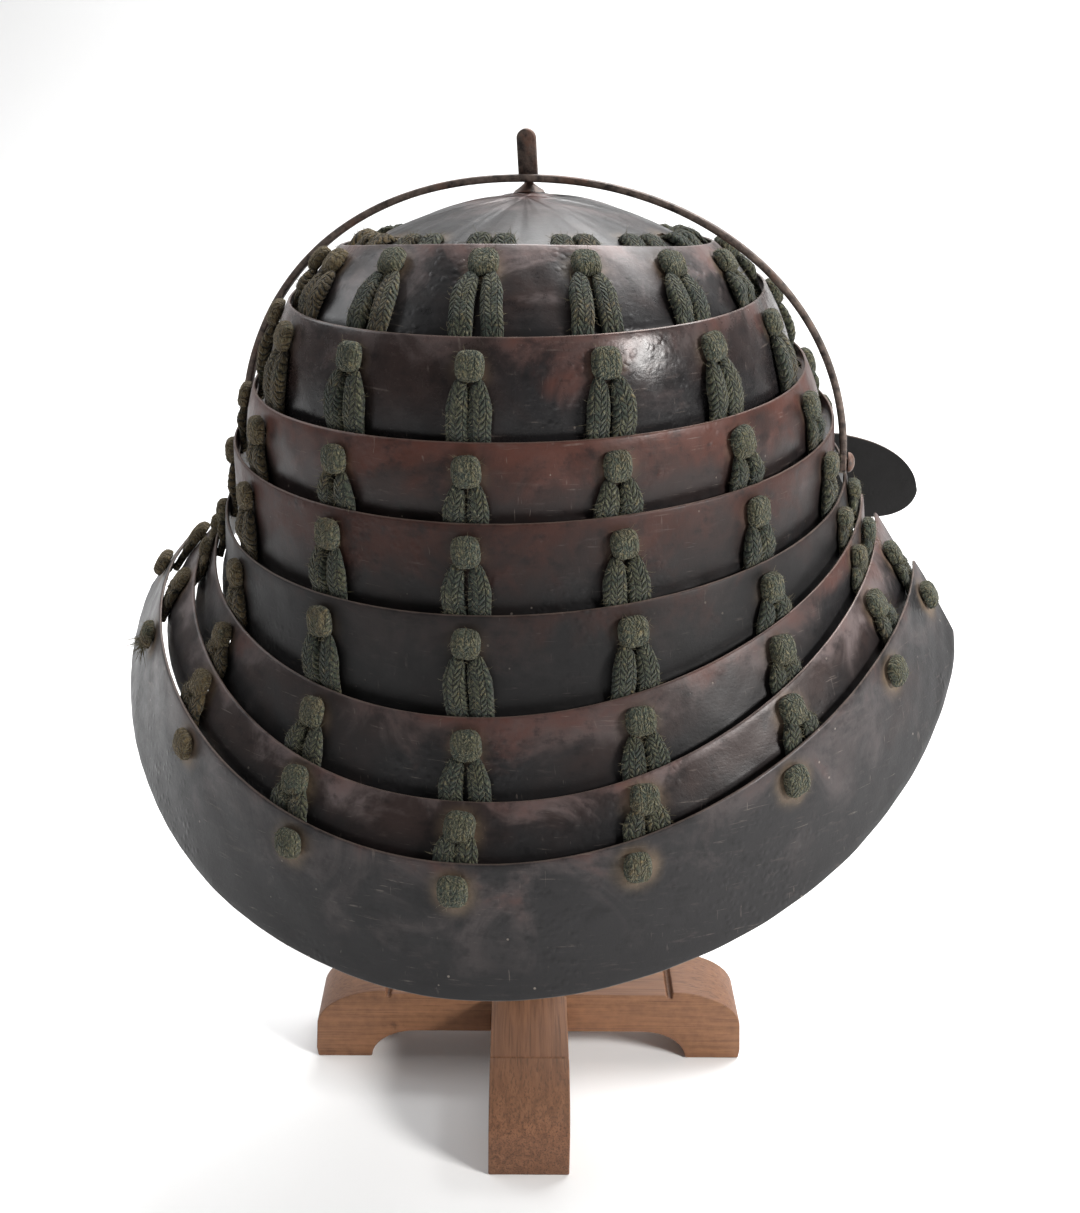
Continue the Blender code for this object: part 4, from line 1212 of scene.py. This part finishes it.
    def knot(self, clay: Clay, index: int, angle: float, rng: np.random.Generator) -> None:
        """Add the square knot over a plate's hole, with its neck through the plate."""
        hole = float(BOWL.hole(index, np.array(angle)))
        reach = float(BOWL.reach(index, np.array(angle)))
        frame = BOWL.frame(index, np.array([angle]), np.array([hole]))
        point, normal, down, _ = (value[0] for value in frame)
        side = unit(np.cross(normal, down))
        height = min(self.knot_height, max(0.66 * reach, 7.0)) * rng.uniform(0.93, 1.05)
        width = self.knot_width * rng.uniform(0.92, 1.05) * (0.9 + 0.1 * height / self.knot_height)
        lean = rng.uniform(-0.12, 0.12)
        down, side = unit(down + side * lean), unit(side - down * lean)
        up = np.linspace(-np.pi / 2, np.pi / 2, self.knot_rows)[:, None]
        spin = around(self.knot_sides)[None, :]
        hug = signed_power(np.cos(up), 0.62)
        flat = hug * signed_power(np.cos(spin), 0.72) * width / 2
        deep = np.where(np.sin(spin) > 0, self.knot_front * rng.uniform(0.9, 1.1), self.knot_back)
        proud = hug * signed_power(np.sin(spin), 0.85) * deep
        high = signed_power(np.sin(up), 0.72) * height / 2 + 0.0 * spin
        along = high + rng.uniform(0.0, 9.0)
        outside = smooth(np.sin(spin), -0.1, 0.5) * hug
        crease = rng.uniform(0.0, 0.9) * np.exp(-((flat / 0.9) ** 2))
        proud = proud + outside * (self.relief * 1.3 * (self.stitches(along, flat) - 0.5) - crease)
        centre = point + normal * (self.knot_back + self.lift) - down * 0.1
        rings = centre + down * high[..., None] + side * flat[..., None] + normal * proud[..., None]
        clay.loft(settle(rings), along=along, across=flat, felt=np.ones(1))
        self.fuzz(clay, rings[2:-2], np.tile(normal, (self.knot_rows, 1)), rng)
        neck = around(12)
        loop = np.cos(neck)[:, None] * side * self.neck_half_width
        loop = loop + np.sin(neck)[:, None] * down * self.neck_half_height
        rings = np.array([point + normal * level + loop for level in self.neck_levels])
        clay.loft(settle(rings), along=np.zeros(1))

    def fray(self, clay: Clay, index: int, angle: float, rng: np.random.Generator) -> None:
        """Add the worn-out end of a cord that hangs out of a knot."""
        angles = np.array([angle])
        frame = BOWL.frame(index, angles, BOWL.hole(index, angles))
        point, normal, down, side = (value[0] for value in frame)
        count = self.fray_count
        root = point + normal * 2.6 + side * rng.uniform(-3.4, 3.4, (count, 1))
        root = root + down * rng.uniform(1.0, 4.0, (count, 1))
        way = unit(down * 1.1 + normal * 0.35 + rng.normal(0.0, 0.45, (count, 3)))
        self.fibres(clay, root, way, rng.uniform(3.0, 7.5, count), self.fray_radius, rng)

    def build(
        self,
        number: int,
        stops: list[tuple[int, float]],
        finish: bpy.types.Material,
    ) -> bpy.types.Object:
        """Make one column of cord.

        Args:
            number: The column's number, from 1.
            stops: Its plates and the angle that it has on each.
            finish: Its material.

        Returns:
            The piece that stands for the column's node.
        """
        rng = np.random.default_rng(self.seed + number)
        clay = Clay()
        for index, angle in stops:
            if index != CROWN:
                self.knot(clay, index, angle, rng)
            if index != stops[-1][0]:
                for side in (-1, 1):
                    self.strand(clay, index, angle, side, rng)
        if number == 1:
            self.fray(clay, *stops[-1], rng)
        name = f"lacing_{number:02d}"
        return clay.fire(f"{name}_braid", finish, [name], crease_deg=60.0)


@dataclass
class Bail:
    """The iron arch over the bowl, the rivets that it turns on and the post that catches it."""

    hinge_level: float = 2.5
    collar: float = 1.5
    thickness: float = 2.6
    depth: float = 4.4
    top: float = 101.0
    lean_deg: float = 7.4
    square: float = 2.12
    sway: float = 4.0
    eye_radius: float = 4.0
    eye_hole: float = 2.0
    rivet_radius: float = 1.6
    head_radius: float = 3.6
    head_height: float = 2.5
    boss_radius: float = 5.6
    boss_height: float = 2.2
    neck_radius: float = 1.5
    tongue_width: float = 6.7
    tongue_thickness: float = 2.4
    tongue_height: float = 18.0
    tongue_overlap: float = 3.0
    post_offset: float = 2.0

    def hinge_face(self) -> float:
        """Half width of the brow ring's outer face at the hinges."""
        depth = RINGS[BROW].level * BOWL.height - self.hinge_level
        return float(BOWL.face(BROW, np.array([0.0]), np.array([depth]))[0, 0])

    def inner_face(self) -> float:
        """Half width between the bail's feet."""
        return self.hinge_face() + SEAT_GAP + self.collar + SEAT_GAP

    def leant(self, points: Array) -> Array:
        """Lean points of the upright bail, drawn from its hinge line, onto the catch."""
        return turned(points, self.lean_deg, "X") + np.array((0.0, 0.0, self.hinge_level))

    def middle(self, turn: Array) -> Array:
        """Middle of the upright arch, which is a little square and bent to one side."""
        half_width = self.inner_face() + self.thickness / 2
        height = self.top - self.hinge_level - self.thickness / 2
        power = 2.0 / self.square
        across = half_width * signed_power(np.cos(turn), power) + self.sway * np.sin(turn) ** 2
        return np.stack((across, 0 * turn, height * signed_power(np.sin(turn), power)), -1)

    def build_arch(self, finish: bpy.types.Material) -> bpy.types.Object:
        """Make the arch with a round eye at each foot."""
        turn = np.linspace(0.0, np.pi, 240)
        spin = around(16)
        centre = self.middle(turn)
        way = self.middle(turn + 0.01) - self.middle(turn - 0.01)
        out = unit(way[:, ::-1] * (1.0, 0.0, -1.0))
        uneven = 1.0 + 0.02 * np.sin(turn * 9) + 0.012 * np.sin(turn * 23 + 1.0)
        across = signed_power(np.cos(spin), 0.45)[None, :, None] * np.array((0.0, self.depth / 2, 0.0))
        radial = signed_power(np.sin(spin), 0.45)[None, :, None] * out[:, None] * self.thickness / 2
        rings = centre[:, None] + across * uneven[:, None, None] + radial * uneven[:, None, None]
        clay = Clay()
        clay.loft(settle(self.leant(rings)))
        deep = self.thickness - 0.2
        rim = self.eye_radius - 0.4
        profile = [(0.0, self.eye_hole), (0.0, rim), (0.4, self.eye_radius), (deep - 0.4, self.eye_radius)]
        profile += [(deep, rim), (deep, self.eye_hole), (0.0, self.eye_hole)]
        for side in (-1, 1):
            foot = np.array((side * (self.inner_face() + 0.1), 0.0, 0.0))
            loops = spun(profile, 48, (side, 0.0, 0.0), foot)
            clay.loft(settle(self.leant(loops[::side])), caps=False)
        return clay.fire("bail_forged", finish, ["bail"], BAIL_BODY)

    def build_rivet(self, name: str, side: int, finish: bpy.types.Material) -> bpy.types.Object:
        """Make one hinge rivet with its collar and domed head."""
        face = self.hinge_face()
        collar = face + SEAT_GAP
        head = self.inner_face() + self.thickness + SEAT_GAP
        ring = self.head_radius - 0.4
        profile = [(face - 2 * WALL, 0.01), (face - 2 * WALL, self.rivet_radius)]
        profile += [(collar, self.rivet_radius), (collar, ring - 0.2), (collar + 0.2, ring)]
        profile += [(collar + self.collar - 0.2, ring), (collar + self.collar, ring - 0.2)]
        profile += [(collar + self.collar, self.rivet_radius), (head, self.rivet_radius)]
        profile += [(head, self.head_radius - 0.25)]
        for bend in np.radians(np.linspace(0.0, 88.0, 12)):
            high = head + 0.2 + (self.head_height - 0.2) * math.sin(bend)
            profile.append((high, self.head_radius * math.cos(bend)))
        loops = spun(profile, 40, (side, 0.0, 0.0), np.array((0.0, 0.0, self.hinge_level)))
        clay = Clay()
        clay.loft(settle(loops[::side]))
        return clay.fire(f"{name}_domed", finish, [name])

    def build_catch(self, finish: bpy.types.Material) -> bpy.types.Object:
        """Make the post on the crown, whose tongue leans over the arch."""
        height = self.top - self.hinge_level - self.thickness / 2
        crest = self.leant(np.array((0.0, 0.0, height)))
        place_y = crest[1] - self.depth / 2 - SEAT_GAP - self.neck_radius - 0.4
        surface = float(BOWL.dome(np.array([270.0]), np.array([abs(place_y)]))[0, 2])
        base = surface + SEAT_GAP + 0.45
        tongue = crest[2] + self.thickness / 2 - self.tongue_overlap
        neck = self.neck_radius
        profile = [(0.0, 0.01), (0.0, self.boss_radius)]
        for share in np.linspace(0.12, 1.0, 7):
            radius = self.boss_radius + (neck + 0.8 - self.boss_radius) * share**0.75
            profile.append((self.boss_height * share, radius))
        profile += [(self.boss_height + 0.5, neck + 0.2), (self.boss_height + 1.0, neck)]
        profile += [(tongue - base + 1.2, neck), (tongue - base + 1.2, 0.01)]
        loops = spun(profile, 40, (0.0, 0.0, 1.0), np.array((self.post_offset, place_y, base)))
        for loop in loops[:2]:
            turn = np.degrees(np.arctan2(loop[:, 1], loop[:, 0]))
            loop[:, 2] = BOWL.dome(turn, np.hypot(loop[:, 0], loop[:, 1]))[:, 2] + SEAT_GAP + 0.1
        clay = Clay()
        clay.loft(settle(loops))
        self.add_tongue(clay, place_y, tongue)
        return clay.fire("catch_post_forged", finish, ["catch_post"])

    def add_tongue(self, clay: Clay, place_y: float, base: float) -> None:
        """Add the tongue, a small rounded blade with softened edges."""
        half = self.tongue_width / 2
        outline = [(-half * 0.7, 0.0), (half * 0.7, 0.0), (half, 1.6)]
        for turn in np.linspace(0.0, math.pi, 25):
            outline.append((half * math.cos(turn), self.tongue_height - half + half * math.sin(turn)))
        outline.append((-half, 1.6))
        flat = np.array(outline)
        centre = flat.mean(0)
        away = flat - centre
        loops = []
        deep = self.tongue_thickness / 2
        front = [(-deep, 0.5), (-deep + 0.2, 0.15), (-deep + 0.5, 0.0)]
        for depth, inset in front + [(-depth, inset) for depth, inset in reversed(front)]:
            shape = centre + away * (1.0 - inset / np.linalg.norm(away, axis=1, keepdims=True))
            x, z = shape[:, 0], shape[:, 1]
            loops.append(np.stack((x + self.post_offset, place_y + depth + z * 0.1, base + z), -1))
        clay.loft(settle(np.array(loops)[::-1]))


@dataclass
class Stand:
    """The crossed wooden foot, its post and the cap that the crown rests on."""

    turn_deg: float = 10.6
    half_length: float = 86.0
    width: float = 30.0
    top: float = 30.0
    foot_top: float = 31.4
    foot_start: float = 58.0
    groove_width: float = 2.5
    groove_depth: float = 1.5
    foot_length: float = 22.0
    arch_height: float = 12.3
    arch_run: float = 18.0
    end_height: float = 15.0
    soft_edge: float = 1.1
    cap_dome: float = 70.0
    cap_edge: float = 9.0

    def profile(self, notch_from_top: bool) -> list[tuple[float, float]]:
        """Outline of one arm, half lapped in its middle."""
        lap = self.top / 2 + self.arch_height / 2
        notch = self.width / 2 + SEAT_GAP
        half = [(0.0, lap), (notch, lap), (notch, self.top)] if notch_from_top else [(0.0, self.top)]
        half += [(self.foot_start - self.groove_width, self.top)]
        half += [(self.foot_start - self.groove_width + 0.6, self.top - self.groove_depth)]
        half += [(self.foot_start - 0.4, self.top - self.groove_depth), (self.foot_start, self.foot_top)]
        for turn in np.linspace(0.0, math.pi / 2, 19)[1:]:
            x = self.foot_start + (self.half_length - self.foot_start) * math.sin(turn)
            half.append((x, self.end_height + (self.foot_top - self.end_height) * math.cos(turn)))
        half += [(self.half_length + 0.6, 4.0), (self.half_length, 0.0)]
        pad = self.half_length - self.foot_length
        half.append((pad, 0.0))
        for turn in np.linspace(0.0, math.pi / 2, 13)[1:]:
            half.append((pad - self.arch_run * (1 - math.cos(turn)), self.arch_height * math.sin(turn)))
        if notch_from_top:
            half.append((0.0, self.arch_height))
        else:
            half += [(notch, self.arch_height), (notch, lap + SEAT_GAP), (0.0, lap + SEAT_GAP)]
        return half + [(-x, z) for x, z in reversed(half) if x > 0.0]

    def build_arm(
        self,
        name: str,
        turn_deg: float,
        notch_from_top: bool,
        finish: bpy.types.Material,
    ) -> bpy.types.Object:
        """Make one arm with worn, softened edges.

        Args:
            name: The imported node's name.
            turn_deg: The arm's direction from +X.
            notch_from_top: Whether its lap is cut from above.
            finish: Its material.

        Returns:
            The piece that stands for the arm's node.
        """
        outline = np.array(self.profile(notch_from_top))
        form = bmesh.new()
        loops = []
        for y in (-self.width / 2, self.width / 2):
            loops.append([form.verts.new((x, y, z)) for x, z in outline])
        for i in range(len(outline)):
            j = (i + 1) % len(outline)
            form.faces.new((loops[0][i], loops[0][j], loops[1][j], loops[1][i]))
        form.faces.new(loops[0][::-1])
        form.faces.new(loops[1])
        bmesh.ops.recalc_face_normals(form, faces=form.faces)
        sharp = [edge for edge in form.edges if edge.calc_face_angle(0.0) > math.radians(50.0)]
        bmesh.ops.bevel(
            form,
            geom=sharp,
            offset=self.soft_edge,
            segments=3,
            profile=0.6,
            affect="EDGES",
            clamp_overlap=True,
        )
        points = np.array([vert.co[:] for vert in form.verts])
        faces = [[vert.index for vert in face.verts] for face in form.faces]
        form.free()
        side = np.abs(np.abs(points[:, 1]) - self.width / 2)
        edge = np.clip(1.0 - side / 1.2, 0.0, 1.0) * 0.6
        placed = turned(points, turn_deg, "Z") * MM
        clay = Clay()
        clay.add(placed, faces, edge=edge)
        return clay.fire(f"{name}_planed", finish, [name], crease_deg=32.0)

    def build_turned(self, name: str, finish: bpy.types.Material) -> bpy.types.Object:
        """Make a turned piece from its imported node's box: the post or the cap."""
        low_and_painted_wing_shade, high = (np.array(corner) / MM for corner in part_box(name))
        radius = (high[0] - low_and_painted_wing_shade[0]) / 2
        bottom, top = low_and_painted_wing_shade[2], high[2]
        if name == "stand_post":
            profile = [(bottom, 0.01), (bottom, radius - 0.8), (bottom + 0.8, radius)]
            profile += [(top - 0.8, radius), (top, radius - 0.8), (top, 0.01)]
        else:
            middle = top - self.cap_dome
            edge = middle + math.sqrt(self.cap_dome**2 - radius**2)
            under = edge - self.cap_edge
            profile = [(under, 0.01), (under, radius * 0.8 - 0.6), (under + 0.3, radius * 0.8)]
            profile += [(under + 3.6, radius - 0.4), (under + 4.4, radius)]
            profile += [(edge - 0.8, radius), (edge - 0.1, radius - 0.5)]
            for away in radius * np.linspace(0.97, 0.001, 14):
                profile.append((middle + math.sqrt(self.cap_dome**2 - away**2), away))
        loops = spun(profile, 96, (0.0, 0.0, 1.0), np.zeros(3))
        clay = Clay()
        clay.loft(loops * MM, edge=np.zeros(1))
        return clay.fire(f"{name}_turned", finish, [name])


# Studio


@dataclass(frozen=True)
class Lamp:
    """One soft light, with lengths in metres and its power in watts."""

    name: str
    place: tuple[float, float, float]
    width: float
    power: float
    colour: tuple[float, float, float] = (1.0, 1.0, 1.0)
    aim: tuple[float, float, float] = (0.0, 0.0, 0.25)

    def hang(self) -> None:
        """Put the light in the scene."""
        light = bpy.data.lights.new(self.name, "AREA")
        light.shape = "RECTANGLE"
        light.size, light.size_y = self.width, self.width * 0.7
        light.energy = self.power
        light.color = self.colour
        lamp = stood(self.name, light)
        lamp.location = self.place
        lamp.rotation_euler = (Vector(self.aim) - Vector(self.place)).to_track_quat("-Z", "Y").to_euler()


LAMPS = (
    Lamp("key_light", (-1.36, 0.58, 0.83), 0.42, 30.0, (1.0, 0.985, 0.965)),
    Lamp("top_light", (-0.3, -0.9, 1.75), 1.5, 62.0),
    Lamp("backdrop_light", (0.0, -0.9, 1.9), 1.6, 10.0, aim=(0.0, -2.3, 0.3)),
    Lamp("fill_light", (1.3, -0.2, 1.1), 1.2, 11.0, (0.97, 0.985, 1.0)),
)


@dataclass
class Studio:
    """The pale floor that sweeps up behind, the world around it and the camera."""

    camera_mm: tuple[float, float, float] = (-100.4, 564.4, 411.9)
    camera_ahead: tuple[float, float, float] = (0.1598, -0.9200, -0.3579)
    camera_right: tuple[float, float, float] = (-0.9852, -0.1712, 0.0)
    lens_mm: float = 48.38
    sensor_mm: float = 36.0
    roll: float = -0.014
    room_light: float = 0.26
    backdrop_light: float = 0.94
    paper: float = 0.88
    floor_front: float = 3.0
    floor_back: float = -1.4
    floor_half_width: float = 4.0
    sweep_radius: float = 0.9
    sweep_top: float = 3.2

    def build(self) -> None:
        """Set up everything around the helmet."""
        bpy.context.scene.view_settings.view_transform = "Standard"
        self.build_sweep()
        self.build_world()
        for lamp in LAMPS:
            lamp.hang()
        self.build_camera()

    def build_sweep(self) -> None:
        """Make the floor and the curve behind it."""
        radius = self.sweep_radius
        profile = [(self.floor_front, 0.0), (0.0, 0.0), (self.floor_back, 0.0)]
        for turn in np.linspace(0.0, math.pi / 2, 24)[1:]:
            profile.append((self.floor_back - radius * math.sin(turn), radius * (1 - math.cos(turn))))
        profile.append((self.floor_back - radius, self.sweep_top))
        half = self.floor_half_width
        points = [(x, y, z) for y, z in profile for x in (-half, half)]
        faces = [(2 * i, 2 * i + 1, 2 * i + 3, 2 * i + 2) for i in range(len(profile) - 1)]
        mesh = bpy.data.meshes.new("sweep")
        mesh.from_pydata(points, [], faces)
        mesh.shade_smooth()
        bench = Bench("pale_paper")
        mesh.materials.append(bench.finish(Base_Color=(self.paper,) * 3, Roughness=0.9))
        floor = stood("sweep", mesh)
        floor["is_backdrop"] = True

    def build_world(self) -> None:
        """Light everything softly from all sides, before a white backdrop."""
        world = bpy.data.worlds.new("soft_room")
        world.use_nodes = True
        back = world.node_tree.nodes["Background"]
        back.inputs["Color"].default_value = (1.0, 1.0, 1.0, 1.0)
        seen = world.node_tree.nodes.new("ShaderNodeMapRange")
        seen.inputs["To Min"].default_value = self.room_light
        seen.inputs["To Max"].default_value = self.backdrop_light
        path = world.node_tree.nodes.new("ShaderNodeLightPath")
        world.node_tree.links.new(path.outputs["Is Camera Ray"], seen.inputs["Value"])
        world.node_tree.links.new(seen.outputs[0], back.inputs["Strength"])
        bpy.context.scene.world = world

    def build_camera(self) -> None:
        """Stand the camera where the picture was taken from."""
        ahead = Vector(self.camera_ahead).normalized()
        right = Vector(self.camera_right).normalized()
        down = ahead.cross(right).normalized()
        tilted = right * math.cos(self.roll) + down * math.sin(self.roll)
        upward = right * math.sin(self.roll) - down * math.cos(self.roll)
        matrix = Matrix((tilted, upward, -ahead)).transposed().to_4x4()
        matrix.translation = Vector(self.camera_mm) * MM
        data = bpy.data.cameras.new("camera")
        data.sensor_width = self.sensor_mm
        data.lens = self.lens_mm
        data.clip_start, data.clip_end = 0.01, 50.0
        camera = stood("camera", data)
        camera.matrix_world = matrix
        bpy.context.scene.camera = camera


PLATE_FINISHES = (
    Lacquer("lacquer_crown", 13.0, 0.42, 0.6, 0.5, 0.36, 0.6, 0.05),
    Lacquer("lacquer_ring_1", 57.0, 0.42, 0.5, 0.7, 0.32, 1.0),
    Lacquer("lacquer_ring_2", 91.0, 0.5, 0.5, 0.5, 0.25, 0.5, 0.05),
    Lacquer("lacquer_ring_3", 140.0, 0.74, 0.3, 0.5, 0.36, 0.45),
    Lacquer("lacquer_brow", 171.0, 0.7, 0.4, 0.5, 0.42, 0.25, 0.38),
    Lacquer("lacquer_lame_1", 215.0, 0.5, 0.62, 0.6, 0.46, 0.2, 0.62),
    Lacquer("lacquer_lame_2", 260.0, 0.5, 0.5, 0.6, 0.42, 0.5, 0.12),
    Lacquer("lacquer_lame_3", 312.0, 0.42, 0.4, 0.8, 0.38, 1.0),
    Lacquer("lacquer_lame_4", 355.0, 0.34, 0.7, 0.9, 0.4, 0.32),
)
BRAID_FINISHES = (
    Braid("braid_green", 5.0, 0.3),
    Braid("braid_mossy", 45.0, 0.42),
    Braid("braid_brown", 88.0, 0.6),
)
BROWN_COLUMNS = (1, 2, 15)


def clear_scene() -> None:
    """Remove the objects that a new file starts with."""
    for thing in list(bpy.data.objects):
        bpy.data.objects.remove(thing, do_unlink=True)


def corners() -> list[list[float]]:
    """The shown object's box as plain numbers."""
    return [list(corner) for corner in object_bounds()]


def main() -> None:
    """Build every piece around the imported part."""
    logging.basicConfig(level=logging.INFO, format="%(message)s")
    clear_scene()
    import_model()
    plates = Plates()
    for index, finish in enumerate(PLATE_FINISHES, start=CROWN):
        plates.build(index, finish.mix())
    Peak().build(Lacquer("lacquer_peak", 402.0, 0.45, 0.5).mix())
    lacing = Lacing()
    braids = [finish.mix() for finish in BRAID_FINISHES]
    for number, stops in enumerate(lacing.stops(), start=1):
        shade = 2 if number in BROWN_COLUMNS else number % 2
        lacing.build(number, stops, braids[shade])
    bail = Bail()
    bail.build_arch(Iron("iron_bail", 3.0).mix())
    rivet = Iron("iron_rivet", 23.0, rust=0.52).mix()
    bail.build_rivet("hinge_rivet_left", 1, rivet)
    bail.build_rivet("hinge_rivet_right", -1, rivet)
    bail.build_catch(Iron("iron_catch", 40.0, rust=0.54).mix())
    stand = Stand()
    long_turn, cross_turn = 90.0 + stand.turn_deg, stand.turn_deg
    stand.build_arm("stand_arm_long", long_turn, True, Wood("wood_long", 2.0, long_turn).mix())
    stand.build_arm("stand_arm_cross", cross_turn, False, Wood("wood_cross", 60.0, cross_turn).mix())
    turned_wood = Wood("wood_turned", 90.0, 0.0, True).mix()
    stand.build_turned("stand_post", turned_wood)
    stand.build_turned("stand_cap", turned_wood)
    Studio().build()


if __name__ == "__main__":
    main()
